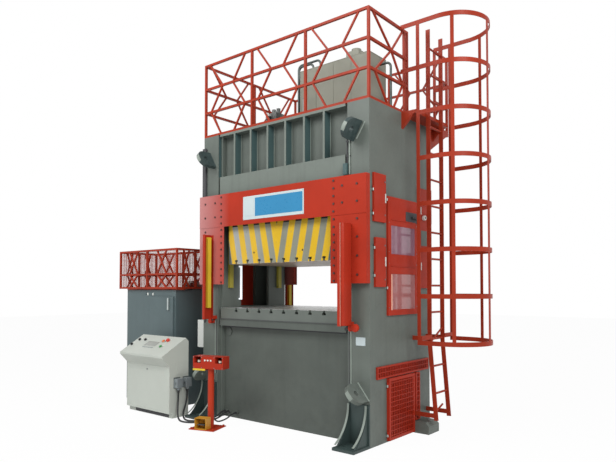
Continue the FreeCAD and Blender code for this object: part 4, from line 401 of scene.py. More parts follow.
def casting(name, colour):
    """Rough casting under thin paint."""
    book = ShaderBook(name)
    pits = book.noise(0.006, detail=5.0, roughness=0.7)
    return book.finish(Base_Color=book.clouded(0.06, colour, 0.75, 1.25), Metallic=0.4,
                       Roughness=pits * 0.2 + 0.42,
                       Normal=book.bump(pits, 0.35, 0.0012))


def smoked_sheet(name, low_tint, high_tint, alpha):
    """Tinted clear sheets with smudges; the upper one has its own tint."""
    book = ShaderBook(name)
    low, high = (corner[2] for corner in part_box("window_panes"))
    upper = book.axes()[2] > (low + high) / 2
    smudge = book.ramp(book.noise(0.08, detail=4.0), (0.4, 0.05), (0.8, 0.2))
    streaks = book.noise(0.25, detail=2.0, vector=book.stretched((1.0, 1.0, 0.2)))
    tint = book.mix(upper, low_tint, high_tint)
    return book.finish(Base_Color=book.mix(streaks * 0.4, tint, (0.62, 0.4, 0.42)),
                       Roughness=smudge, Alpha=smudge * 0.6 + (alpha - 0.06), Coat_Weight=0.3)


def lit_tube(name, colour, strength):
    """Frosted lamp tube that glows a little."""
    book = ShaderBook(name)
    cloud = book.mix(book.noise(0.03, detail=2.0), shade(colour, 0.92), colour)
    return book.finish(Base_Color=cloud, Emission_Color=cloud, Emission_Strength=strength,
                       Roughness=0.35)


RUST_RED = (0.12, 0.02, 0.012)
PALE_DUST = (0.2, 0.2, 0.18)
AMBER_DUST = (0.12, 0.07, 0.02)
EVEN_GRAIN = (1, 1, 1)
SMOOTH_RED = {"roughness": 0.34, "grime": 0.1, "grime_colour": RUST_RED, "shine": 0.12}
DUSTY_RED = {"grime": 0.12, "grime_colour": RUST_RED}
SIGNAL_COAT = {"mottle": 0.08, "grime": 0.18, "grime_colour": AMBER_DUST}
CLEAN_COAT = {"mottle": 0.03, "grime_colour": PALE_DUST}
BUTTON_CAP = {"roughness": 0.3, "strength": 0.05}

# Each finish: the record's slot, its maker, a colour or a paint with its brightness, and options.
FINISHES = {
    "body_enamel": ("body_paint", enamel, ("body", 1.0), dict(roughness=0.44, streak=0.1)),
    # bed: body paint darkened as painted shade
    "bed_enamel": ("body_paint", enamel, ("body", 0.72),
                   dict(roughness=0.42, grime=0.35, streak=0.12)),
    # anchor feet: dark teal as painted shade on the body paint
    "foot_enamel": ("body_paint", enamel, (0.04, 0.06, 0.057), dict(roughness=0.42, grime=0.3)),
    # pale body paint: the conduit's own colour, and painted highlights on weld beads and edge strips
    "pale_enamel": ("body_paint", enamel, ("body", 1.95), dict(roughness=0.44, grime=0.1)),
    # dark teal: the sensor box's own colour, and painted shade on the rib sides
    "shade_enamel": ("body_paint", enamel, (0.055, 0.098, 0.098), dict(roughness=0.5, grime=0.2)),
    "lug_enamel": ("body_paint", lug_paint, ("body", 1.0), {}),
    # crown: body paint darkened as painted shade of its recess, its front faces brightened as painted
    # light
    "recess_enamel": ("body_paint", enamel, ("body", 0.96),
                      dict(roughness=0.5, grime=0.35, streak=0.14, front=1.32)),
    "guard_enamel": ("guard_paint", enamel, ("guard", 1.0), SMOOTH_RED),
    # headers and end plates: enamel with a painted glare towards the left end
    "front_enamel": ("guard_paint", enamel, ("guard", 1.0), dict(SMOOTH_RED, haze=0.62)),
    "mesh_enamel": ("guard_paint", enamel, ("guard", 0.84), dict(DUSTY_RED, shine=0.1)),
    # sheet behind the wire mesh: darkened guard paint as painted shade
    "mesh_back": ("guard_paint", enamel, ("guard", 0.86), dict(DUSTY_RED, shine=0.05)),
    # pale red: painted highlights on the channel's edge and the window door's rim
    "rim_enamel": ("guard_paint", enamel, (0.72, 0.36, 0.27),
                   dict(mottle=0.06, grime=0.1, grime_colour=RUST_RED)),
    "stand_enamel": ("guard_paint", enamel, (0.43, 0.038, 0.013), dict(DUSTY_RED, shine=0.15)),
    "rail_enamel": ("guard_paint", enamel, (0.32, 0.034, 0.014),
                    dict(DUSTY_RED, mottle=0.14, shine=0.12)),
    "slide_enamel": ("ram_paint", banded_enamel, ("stripe", 1.0), {}),
    "bolster_enamel": ("ram_paint", planed_paint, ("body", 0.9), dict(bare=(0.62, 0.63, 0.62))),
    "desk_enamel": ("desk_paint", enamel, ("desk", 1.0),
                    dict(CLEAN_COAT, roughness=0.42, grime=0.05)),
    "unit_enamel": ("unit_paint", enamel, ("unit", 1.0),
                    dict(roughness=0.4, mottle=0.08, grime=0.15, streak=0.05)),
    "yellow_enamel": ("yellow_paint", enamel, ("yellow", 1.0), SIGNAL_COAT),
    "pedal_enamel": ("yellow_paint", enamel, (0.62, 0.3, 0.03), SIGNAL_COAT),
    "guide_enamel": ("yellow_guide", enamel, (0.42, 0.36, 0.05),
                     dict(roughness=0.4, mottle=0.2, grime=0.4)),
    "white_enamel": ("white_paint", enamel, (0.7, 0.72, 0.68),
                     dict(CLEAN_COAT, roughness=0.4, grime=0.12)),
    "plate_enamel": ("blank_plate", enamel, (0.52, 0.6, 0.61),
                     dict(CLEAN_COAT, roughness=0.34, grime=0.08)),
    "sign_enamel": ("blank_plate", enamel, ("sign", 1.0),
                    dict(roughness=0.3, mottle=0.04, grime=0.0)),
    "tank_enamel": ("tank_paint", enamel, ("tank", 1.0), dict(roughness=0.46)),
    "rod_chrome": ("chrome_rod", machined, (0.72, 0.73, 0.74), dict(roughness=0.18, oil=0.05)),
    "dark_bolt": ("bolt_steel", moulded, (0.045, 0.013, 0.011), dict(roughness=0.5)),
    "dark_trim": ("dark_trim", moulded, (0.035, 0.045, 0.045), {}),
    "hinge_steel": ("dark_trim", machined, (0.5, 0.52, 0.5), dict(roughness=0.45, grain=EVEN_GRAIN)),
    "pipe_steel": ("ground_steel", machined, (0.22, 0.24, 0.24),
                   dict(roughness=0.38, grain=EVEN_GRAIN)),
    "dark_pipe": ("ground_steel", machined, (0.085, 0.095, 0.09),
                  dict(roughness=0.45, grain=EVEN_GRAIN)),
    "black_plastic": ("knob_black", moulded, (0.014, 0.015, 0.016), dict(roughness=0.38)),
    "bright_handle": ("knob_black", machined, (0.5, 0.55, 0.54),
                      dict(roughness=0.45, grain=EVEN_GRAIN)),
    "cast_iron": ("cast_metal", casting, (0.12, 0.125, 0.12), {}),
    "cast_grey": ("cast_metal", casting, (0.34, 0.33, 0.3), {}),
    "grey_trim": ("dark_trim", moulded, (0.22, 0.25, 0.26), {}),
    "display_glass": ("dark_trim", moulded, (0.33, 0.35, 0.32), dict(roughness=0.22, strength=0.02)),
    "cable_sheath": ("cable_black", moulded, ("sheath", 1.0), dict(roughness=0.5, strength=0.1)),
    "red_button": ("button_red", moulded, (0.62, 0.03, 0.015), BUTTON_CAP),
    "orange_button": ("button_orange", moulded, (0.75, 0.16, 0.03), BUTTON_CAP),
    "green_button": ("button_green", moulded, (0.03, 0.28, 0.07), BUTTON_CAP),
    "palm_cap": ("palm_button", moulded, (0.66, 0.6, 0.5), dict(roughness=0.32, strength=0.05)),
    "smoked_pane": ("pane_glass", smoked_sheet, (0.4, 0.13, 0.12),
                    dict(high_tint=(0.24, 0.11, 0.17), alpha=0.82)),
    "lamp_tube": ("lamp_glass", lit_tube, (0.92, 0.95, 1.0), dict(strength=0.8)),
}

# The first finish of a slot is the slot's own. The nodes below have another one.
SLOT_FINISH = {slot: name for name, (slot, *_) in reversed(FINISHES.items())}
NODE_FINISH = {
    "crown": "recess_enamel", "bed": "bed_enamel", "anchor_feet": "foot_enamel",
    "lifting_lugs": "lug_enamel", "door_hinges": "hinge_steel", "guard_headers": "front_enamel",
    "guard_end_plates": "front_enamel", "bolster_plate": "bolster_enamel",
    "pedestal_stand": "stand_enamel", "pedestal_head": "guard_enamel",
    "hydraulic_pipes": "dark_pipe", "cabinet_handle": "bright_handle",
    "desk_connectors": "grey_trim", "foot_pedal_housing": "pedal_enamel",
    "railing_ends": "rail_enamel", "railing_sides": "rail_enamel", "ladder": "rail_enamel",
    "ladder_cage": "rail_enamel", "landing_platform": "rail_enamel", "unit_guard": "rail_enamel",
}


def material(finish):
    """The material of a finish, made when it is first asked for."""
    _, maker, colour, options = FINISHES[finish]
    if isinstance(colour[0], str):
        colour = paint(*colour)
    return bpy.data.materials.get(finish) or maker(finish, colour, **options)


# --- making pieces
RIGHT, BACK, UP = Vector((1, 0, 0)), Vector((0, 1, 0)), Vector((0, 0, 1))
FORWARD, DOWN = -BACK, -UP
MERGE_DISTANCE = 1e-6
SHARP_ANGLE = math.radians(35)


def dressed(piece, finish, body=STATIC):
    """Link a piece, paint it, and let it ride on a body."""
    bpy.context.scene.collection.objects.link(piece)
    piece.data.materials.append(material(finish))
    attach(piece, body)
    return piece


def piece_from(bm, name, finish, body=STATIC, smooth=False):
    """Object from a bmesh, with its doubles merged and its faces turned outwards."""
    bmesh.ops.remove_doubles(bm, verts=bm.verts, dist=MERGE_DISTANCE)
    bmesh.ops.recalc_face_normals(bm, faces=bm.faces)
    mesh = bpy.data.meshes.new(name)
    bm.to_mesh(mesh)
    bm.free()
    if smooth:
        mesh.shade_smooth()
        mesh.set_sharp_from_angle(angle=SHARP_ANGLE)
    return dressed(bpy.data.objects.new(name, mesh), finish, body)


def ease(bm, edges, width):
    """Round edges over a width."""
    bmesh.ops.bevel(bm, geom=edges, offset=width, offset_type="OFFSET", segments=2, profile=0.5,
                    affect="EDGES", material=-1)


def add_box(bm, low, high, bevel=0.0, place=Matrix()):
    """Box between two corners, turned and placed by a matrix, with its edges eased."""
    low = Vector(low)
    high = Vector(high)
    made = bmesh.ops.create_cube(bm, size=1.0)["verts"]
    bmesh.ops.scale(bm, vec=high - low, verts=made)
    bmesh.ops.translate(bm, vec=(low + high) / 2, verts=made)
    bmesh.ops.transform(bm, matrix=place, verts=made)
    if bevel:
        ease(bm, list({edge for vert in made for edge in vert.link_edges}), bevel)


def add_disc(bm, foot, axis, radius, length, sides=24, bevel=0.0, top_radius=None, place=Matrix()):
    """Round bar or cone from its foot along an axis, placed by a matrix, with its rims eased."""
    top = radius if top_radius is None else top_radius
    made = bmesh.ops.create_cone(bm, cap_ends=True, segments=sides, radius1=radius, radius2=top,
                                 depth=length)["verts"]
    axis = Vector(axis).normalized()
    turn = UP.rotation_difference(axis).to_matrix().to_4x4()
    middle = Matrix.Translation(Vector(foot) + axis * length / 2)
    bmesh.ops.transform(bm, matrix=place @ middle @ turn, verts=made)
    if bevel:
        caps = {face for vert in made for face in vert.link_faces if len(face.verts) == sides}
        ease(bm, list({edge for face in caps for edge in face.edges}), bevel)


def boxes(name, finish, corners, bevel=0.0, body=STATIC, place=Matrix()):
    """Piece of boxes, each given by its two corners and, where it has one of its own, its bevel."""
    bm = bmesh.new()
    for low, high, *own in corners:
        add_box(bm, low, high, own[0] if own else bevel, place)
    return piece_from(bm, name, finish, body)


def discs(name, finish, bars, body=STATIC, smooth=True, **form):
    """Piece of round bars, each given by its foot, axis, radius and length."""
    bm = bmesh.new()
    for bar in bars:
        add_disc(bm, *bar, **form)
    return piece_from(bm, name, finish, body, smooth)


def tube(name, points, radius, resolution, sides):
    """Round spline along points, with rounded bends and closed ends."""
    curve = bpy.data.curves.new(name, "CURVE")
    curve.dimensions = "3D"
    curve.resolution_u = resolution
    curve.bevel_depth = radius
    curve.bevel_resolution = sides
    curve.use_fill_caps = True
    spline = curve.splines.new("NURBS")
    spline.points.add(len(points) - 1)
    for control, place in zip(spline.points, points):
        control.co = (*place, 1)
    spline.order_u = 3
    spline.use_endpoint_u = True
    return bpy.data.objects.new(name, curve)


def bent_bar(name, points, radius, finish):
    """Rigid pipe or bar along points, as a mesh."""
    line = tube(name + "_line", points, radius, resolution=8, sides=3)
    mesh = bpy.data.meshes.new_from_object(line)
    bpy.data.objects.remove(line)
    mesh.name = name
    mesh.shade_smooth()
    return dressed(bpy.data.objects.new(name, mesh), finish)


# --- cables
DESK_CABLE_RADIUS = 0.011
PEDESTAL_CABLE_RADIUS = 0.009
SLEEVE_LENGTH = 0.04
FLOOR_LIFT = 0.012
# Each cable's route from its housing to the bed, through the spline's points.
FRONT_CABLE = [
    (-1.345, -0.376, 0.355),
    (-1.345, -0.376, 0.255), (-1.32, -0.405, 0.15), (-1.265, -0.45, 0.06),
    (-1.18, -0.49, FLOOR_LIFT), (-1.08, -0.5, FLOOR_LIFT), (-0.985, -0.465, FLOOR_LIFT),
    (-0.925, -0.385, FLOOR_LIFT), (-0.9, -0.28, FLOOR_LIFT), (-0.89, -0.17, FLOOR_LIFT),
    (-0.888, -0.06, 0.038), (-0.895, 0.005, 0.07), (-0.895, 0.07, 0.07),
]
REAR_CABLE = [
    (-1.345, -0.234, 0.355),
    (-1.345, -0.234, 0.25), (-1.33, -0.275, 0.15), (-1.29, -0.345, 0.07),
    (-1.215, -0.395, 0.022), (-1.125, -0.425, FLOOR_LIFT), (-1.035, -0.4, FLOOR_LIFT),
    (-0.985, -0.32, FLOOR_LIFT), (-0.968, -0.215, FLOOR_LIFT), (-0.96, -0.105, 0.02),
    (-0.955, -0.045, 0.042), (-0.96, 0.01, 0.07), (-0.96, 0.07, 0.07),
]
PEDESTAL_CABLE = [
    (-0.71768, -0.43268, 0.676),
    (-0.71768, -0.43268, 0.6), (-0.713, -0.418, 0.5), (-0.71, -0.4, 0.39),
    (-0.722, -0.375, 0.28), (-0.748, -0.34, 0.16), (-0.768, -0.292, 0.06),
    (-0.77, -0.23, FLOOR_LIFT), (-0.768, -0.15, FLOOR_LIFT), (-0.758, -0.07, 0.032),
    (-0.76, 0.005, 0.07), (-0.76, 0.07, 0.07),
]


def sleeve(name, foot, axis, radius, length):
    """Tapered strain relief round a cable where it leaves its housing."""
    bm = bmesh.new()
    add_disc(bm, foot, axis, radius * 1.9, length * 0.25, bevel=0.001)
    add_disc(bm, Vector(foot) + axis * length * 0.25, axis, radius * 1.65, length * 0.75,
             top_radius=radius * 1.15)
    return piece_from(bm, name, "black_plastic", smooth=True)


class PRESS_OT_cables(bpy.types.Operator):
    """Lay the desk's two cables and the pedestal's cable, with their strain reliefs"""
    bl_idname = "press.cables"
    bl_label = "Cables"

    def execute(self, context):
        for name, points, radius, length in (
                ("desk_cable_front", FRONT_CABLE, DESK_CABLE_RADIUS, 1.203),
                ("desk_cable_rear", REAR_CABLE, DESK_CABLE_RADIUS, 1.116),
                ("pedestal_lead", PEDESTAL_CABLE, PEDESTAL_CABLE_RADIUS, 1.033)):
            line = dressed(tube(name, points, radius, resolution=12, sides=4), "cable_sheath")
            ends = [sleeve(name + "_top_sleeve", points[0], DOWN, radius, SLEEVE_LENGTH),
                    sleeve(name + "_wall_sleeve", points[-1], FORWARD, radius, SLEEVE_LENGTH)]
            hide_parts("pedestal_cable" if name == "pedestal_lead" else "desk_cables")
        return {"FINISHED"}


# --- camera, floor and light
FLOOR_SIZE = 30
FLOOR_COLOUR = (0.88, 0.88, 0.87)
FLOOR_GLOW = 0.965
SKY_COLOUR = (0.96, 0.98, 1.0)
WHITE = (1.0, 1.0, 1.0)
KEY_PLACE, KEY_TARGET, KEY_SIZE = (-1.8, -5.8, 7.2), (0.0, 0.3, 2.8), 4.0
FILL_PLACE, FILL_TARGET, FILL_SIZE = (9.5, -5.0, 7.5), (1.0, 0.6, 2.4), 5.0


def seen_rays(book):
    """One for the rays that show a surface: straight, in gloss or through a pane."""
    rays = book.node("ShaderNodeLightPath").socket.node.outputs
    return (Wire(book, rays["Is Camera Ray"]) + Wire(book, rays["Is Glossy Ray"])
            + Wire(book, rays["Is Transmission Ray"])).clamped()


def floor_material(name):
    """Pale material that looks white to the camera and in gloss, and still takes shadow."""
    book = ShaderBook(name)
    book.tree.nodes.remove(book.shader)
    cloud = book.mix(book.noise(1.5, detail=2.0), shade(FLOOR_COLOUR, 0.97), FLOOR_COLOUR)
    plain = book.node("ShaderNodeBsdfDiffuse", None, cloud)
    glow = book.node("ShaderNodeEmission", None, WHITE, 1.0)
    bright = book.node("ShaderNodeMixShader", None, FLOOR_GLOW, plain, glow)
    shown = book.node("ShaderNodeMixShader", None, seen_rays(book), plain, bright)
    book.feed(book.tree.nodes["Material Output"].inputs["Surface"], shown)
    return book.owner


def studio_world(name, ambient):
    """World that lights evenly and is seen as plain white."""
    book = ShaderBook(name, "worlds")
    sky = book.tree.nodes["Background"]
    book.feed(sky.inputs["Color"], SKY_COLOUR)
    book.feed(sky.inputs["Strength"], ambient)
    white = book.node("ShaderNodeBackground", None, WHITE, 1.0)
    shown = book.node("ShaderNodeMixShader", None, seen_rays(book), Wire(book, sky.outputs[0]), white)
    book.feed(book.tree.nodes["World Output"].inputs["Surface"], shown)
    return book.owner


def staged(name, data, place=(0, 0, 0), turn=(0, 0, 0)):
    """Object of the stage at its place."""
    made = bpy.data.objects.new(name, data)
    made.location = place
    made.rotation_euler = turn
    bpy.context.scene.collection.objects.link(made)
    return made


def soft_light(name, place, target, size, power):
    """Square soft light turned to a target."""
    lamp = bpy.data.lights.new(name, "AREA")
    lamp.shape = "SQUARE"
    lamp.size = size
    lamp.energy = power
    staged(name, lamp, place, (Vector(target) - Vector(place)).to_track_quat("-Z", "Y").to_euler())


class PRESS_OT_stage(bpy.types.Operator):
    """Set the camera, the pale floor and the soft studio light"""
    bl_idname = "press.stage"
    bl_label = "Stage"

    def execute(self, context):
        scene = context.scene
        stage = scene.press_stage
        scene.view_settings.view_transform = "Standard"
        eye = bpy.data.cameras.new("photo_camera")
        eye.lens = stage.lens
        eye.sensor_width = 36.0
        eye.shift_y = stage.rise
        scene.camera = staged("photo_camera", eye, stage.camera_place,
                              (math.pi / 2 + stage.tilt, 0, stage.heading))
        bm = bmesh.new()
        bmesh.ops.create_grid(bm, x_segments=1, y_segments=1, size=FLOOR_SIZE)
        mesh = bpy.data.meshes.new("floor")
        bm.to_mesh(mesh)
        bm.free()
        mesh.materials.append(floor_material("floor_white"))
        floor = staged("floor", mesh)
        scene.world = studio_world("studio", stage.ambient)
        soft_light("key_light", KEY_PLACE, KEY_TARGET, KEY_SIZE, stage.key)
        soft_light("fill_light", FILL_PLACE, FILL_TARGET, FILL_SIZE, stage.fill)
        return {"FINISHED"}


# --- finishes of the frame
class PRESS_OT_finishes(bpy.types.Operator):
    """Give every node of the frame its finish"""
    bl_idname = "press.finishes"
    bl_label = "Finishes"

    def execute(self, context):
        for part in frame["record"]["subparts"]:
            node = part["node"]
            finish = NODE_FINISH.get(node, SLOT_FINISH[part["material_slot"]])
            for slot in frame["nodes"][node].material_slots:
                slot.material = material(finish)
        return {"FINISHED"}


# --- sign and label plates
SIGN_LEFT, SIGN_RIGHT, SIGN_LOW, SIGN_HIGH, SIGN_FACE = -0.495, 0.478, 2.487, 2.773, -0.073


class PRESS_OT_plates(bpy.types.Operator):
    """Add the bare fields of the header's sign and of the small plate, and the plates' rivets"""
    bl_idname = "press.plates"
    bl_label = "Plates"

    def execute(self, context):
        left, right, low, high, face = SIGN_LEFT, SIGN_RIGHT, SIGN_LOW, SIGN_HIGH, SIGN_FACE
        boxes("sign_field", "sign_enamel", [
            ((left + 0.205, face - 0.0015, low + 0.035), (right - 0.018, face, high - 0.028))],
            bevel=0.0006)
        boxes("sign_square", "plate_enamel", [
            ((left + 0.048, face - 0.0012, low + 0.04), (left + 0.18, face, high - 0.036)),
            ((left + 0.056, face - 0.002, low + 0.048),
             (left + 0.172, face - 0.0008, high - 0.044))], bevel=0.0005)
        bm = bmesh.new()
        for x in (left + 0.012, right - 0.012):
            for z in (low + 0.012, high - 0.012):
                add_disc(bm, (x, face, z), FORWARD, 0.0035, 0.002, sides=12, bevel=0.0006)
        for x in (1.141, 1.247):
            for z in (1.054, 1.129):
                add_disc(bm, (x, -0.003, z), FORWARD, 0.0025, 0.0015, sides=12, bevel=0.0005)
        piece_from(bm, "plate_rivets", "pipe_steel", smooth=True)
        boxes("label_field", "plate_enamel", [((1.143, -0.0042, 1.056), (1.245, -0.003, 1.127))],
              bevel=0.0005)
        return {"FINISHED"}


# --- wire mesh
DOOR_WIRE = 0.0022
LAYER_STEP = 0.8


def wire_mesh(name, finish, panels, cell, wire, body=STATIC):
    """Crossed wires over upright rectangles; the second layer lies just off the first."""
    bm = bmesh.new()
    for corner, across, width, height in panels:
        out = across.cross(UP)
        for along, other, span, reach, depth in ((across, UP, width, height, 0.0),
                                                 (UP, across, height, width, wire * LAYER_STEP)):
            count = max(2, round(span / cell))
            half = (along + out) * wire / 2
            for index in range(1, count):
                foot = Vector(corner) + along * span * index / count + out * depth
                add_box(bm, foot - half, foot + half + other * reach)
    return piece_from(bm, name, finish, body)


class PRESS_OT_mesh(bpy.types.Operator):
    """Fill the guard on the power unit, the low door and the vent strips with wire mesh, with
    darkened sheets behind the door and the strips as painted shade
    """
    bl_idname = "press.mesh"
    bl_label = "Wire mesh"

    def execute(self, context):
        fittings = context.scene.press_fittings
        cell, wire = fittings.mesh_cell, fittings.mesh_wire
        left, right, front, rear, low, high = -3.21, -1.84, -0.03, 0.62, 1.665, 2.195
        inset = 0.02 + wire
        faces = [((left, y, low), RIGHT, right - left, high - low)
                 for y in (front + inset, rear - inset)]
        sides = [((x, front, low), BACK, rear - front, high - low)
                 for x in (left + inset, right - inset)]
        wire_mesh("unit_guard_mesh", "rail_enamel", faces + sides, cell, wire)
        cell = fittings.door_cell
        wire_mesh("mesh_door_wire", "mesh_enamel", [((1.337, 0.335, 0.03), BACK, 0.527, 0.635)],
                  cell, DOOR_WIRE, body="mesh_door_leaf")
        # sheet behind the door's mesh: painted shade of the dark space behind it
        boxes("mesh_door_back", "mesh_back", [((1.331, 0.335, 0.03), (1.332, 0.862, 0.665))],
              body="mesh_door_leaf")
        # sheets behind the vent strips' mesh: painted shade of the dark space behind them
        boxes("mesh_strip_back", "mesh_back", [((1.3165, 0.12, 0.698), (1.3175, 1.227, 0.812)),
                                               ((1.331, 0.912, 0.15), (1.332, 0.993, 0.67))])
        wire_mesh("mesh_strip_wire", "mesh_enamel", [((1.3225, 0.12, 0.698), BACK, 1.107, 0.114),
                                                     ((1.337, 0.912, 0.15), BACK, 0.081, 0.52)],
                  cell, DOOR_WIRE)
        return {"FINISHED"}


# --- control desk
DESK_NOSE = Vector((0, -0.605, 0.795))
DESK_SLOPE = math.radians(29.6)
# Places on the sloped top: distance to the side and up the slope from its front edge.
DISPLAY_PLACE = (-2.021, 0.169)
KNOB_PLACES = {"left": (-2.264, 0.177), "middle": (-2.228, 0.294), "right": (-2.103, 0.302)}
BUTTON_PLACES = [(-1.699, 0.301), (-1.625, 0.185), (-1.619, 0.318)]
PLUG_PLACES = (-0.376, -0.234)


def on_slope(x, along):
    """Matrix that stands a piece on the desk's sloped top."""
    place = Vector((x, DESK_NOSE.y + along * math.cos(DESK_SLOPE),
                    DESK_NOSE.z + along * math.sin(DESK_SLOPE)))
    return Matrix.Translation(place) @ Matrix.Rotation(DESK_SLOPE, 4, "X")


class PRESS_OT_desk(bpy.types.Operator):
    """Add the desk's display, trim rings, label fields, door, lock and plug details"""
    bl_idname = "press.desk"
    bl_label = "Desk details"

    def execute(self, context):
        boxes("display_glass", "display_glass", [((0.016, 0.016, 0.0), (0.266, 0.113, 0.0022))],
              bevel=0.0008, place=on_slope(*DISPLAY_PLACE))
        keys = [0.028 + index * 0.039 for index in range(6)]
        boxes("display_keys", "grey_trim",
              [((x, -0.022, 0.0), (x + 0.028, -0.006, 0.002)) for x in keys],
              bevel=0.0008, place=on_slope(*DISPLAY_PLACE))
        for name, spot in KNOB_PLACES.items():
            discs("knob_ring_" + name, "grey_trim", [((0, 0, -0.0002), UP, 0.0225, 0.0006)],
                  sides=32, place=on_slope(*spot))
        bm = bmesh.new()
        for spot in (*KNOB_PLACES.values(), *BUTTON_PLACES):
            add_box(bm, (-0.02, 0.036, 0.0), (0.02, 0.048, 0.0012), 0.0004, on_slope(*spot))
        piece_from(bm, "desk_blank_labels", "white_enamel")
        boxes("desk_front_door", "desk_enamel", [((-2.285, -0.4915, 0.085), (-1.405, -0.489, 0.64))],
              bevel=0.001)
        bm = bmesh.new()
        add_disc(bm, (-1.85, -0.4915, 0.59), FORWARD, 0.011, 0.005, bevel=0.001)
        add_box(bm, (-1.853, -0.4985, 0.583), (-1.847, -0.496, 0.597), bevel=0.0005)
        piece_from(bm, "desk_lock", "pipe_steel", smooth=True)
        # dark sheet on the plinth: painted shade of the gap under the desk
        boxes("desk_plinth_gap", "dark_trim", [((-2.165, -0.4465, 0.004), (-1.445, -0.4445, 0.0585))])
        clips = []
        ribs = []
        for y in PLUG_PLACES:
            clips += [((-1.381, y - 0.05, 0.375), (-1.377, y + 0.05, 0.512)),
                      ((-1.35, y - 0.048, 0.425), (-1.336, y - 0.0435, 0.455)),
                      ((-1.35, y + 0.0435, 0.425), (-1.336, y + 0.048, 0.455))]
            ribs += [((-1.3745, y - 0.04, 0.392), (-1.3085, y + 0.04, 0.396), 0.001),
                     ((-1.31, y - 0.036, 0.4), (-1.3085, y + 0.036, 0.486), 0.0006)]
        boxes("plug_clips", "pipe_steel", clips, bevel=0.001)
        boxes("plug_hood_ribs", "grey_trim", ribs)
        return {"FINISHED"}


# --- two-hand pedestal
PEDESTAL = Matrix.Translation((-0.663, -0.478, 0)) @ Matrix.Rotation(math.radians(18), 4, "Z")
# The pedestal's head in its own frame: its middle, half its width and depth, its shelf and tray.
HEAD_X, HEAD_Y, HEAD_HALF_X, HEAD_HALF_Y = 0.032, 0.02, 0.2025, 0.075
PALM_REACH, COLLAR_RADIUS, COLLAR_TAPER, COLLAR_HEIGHT = 0.1425, 0.034, 0.78, 0.006
SHELF_HEIGHT, TRAY_LOW = 0.768, 0.682


def verts_of(geometry):
    """The vertices among a bmesh operator's results."""
    return [part for part in geometry if isinstance(part, bmesh.types.BMVert)]


class PRESS_OT_pedestal(bpy.types.Operator):
    """Add collars, lamps, screws and the tray's yellow rim to the pedestal"""
    bl_idname = "press.pedestal"
    bl_label = "Pedestal details"

    def execute(self, context):
        bm = bmesh.new()
        bmesh.ops.create_circle(bm, segments=32, radius=COLLAR_RADIUS)
        inner = verts_of(bmesh.ops.extrude_edge_only(bm, edges=bm.edges)["geom"])
        bmesh.ops.scale(bm, vec=(COLLAR_TAPER, COLLAR_TAPER, 1), verts=inner)
        bmesh.ops.translate(bm, vec=UP * COLLAR_HEIGHT, verts=inner)
        corner = (HEAD_X - PALM_REACH, HEAD_Y - HEAD_HALF_Y / 3, SHELF_HEIGHT)
        bmesh.ops.translate(bm, vec=corner, verts=bm.verts)
        bmesh.ops.solidify(bm, geom=bm.faces, thickness=0.0015)
        second = bmesh.ops.duplicate(bm, geom=[*bm.verts, *bm.edges, *bm.faces])["geom"]
        bmesh.ops.translate(bm, vec=RIGHT * 2 * PALM_REACH, verts=verts_of(second))
        bmesh.ops.transform(bm, matrix=PEDESTAL, verts=bm.verts)
        piece_from(bm, "palm_collars", "black_plastic", smooth=True)
        front = HEAD_Y - HEAD_HALF_Y
        discs("pedestal_lamps", "white_enamel",
              [((HEAD_X + step, front, 0.8), FORWARD, 0.011, 0.006) for step in (-0.04, 0, 0.04)],
              bevel=0.0015, place=PEDESTAL)
        left, right = HEAD_X - HEAD_HALF_X, HEAD_X + HEAD_HALF_X
        discs("pedestal_screws", "pipe_steel",
              [((x, front, z), FORWARD, 0.0055, 0.003) for z in (0.712, 0.834)
               for x in (left + 0.01, HEAD_X - 0.085, HEAD_X + 0.085, right - 0.01)],
              sides=16, bevel=0.0008, place=PEDESTAL)
        low, high = TRAY_LOW - 0.004, TRAY_LOW + 0.018
        left -= 0.001
        boxes("tray_rim", "yellow_enamel", [
            ((left, front - 0.0015, low), (HEAD_X - 0.038, front + 0.003, high)),
            ((left, front - 0.0015, low), (left + 0.003, HEAD_Y + HEAD_HALF_Y, high))],
            bevel=0.001, place=PEDESTAL)
        return {"FINISHED"}


# --- crown, tank and valves
RIB_EDGES = [-0.719 + 0.2875 * index for index in range(6)]
RECESS_EDGE = -1.03


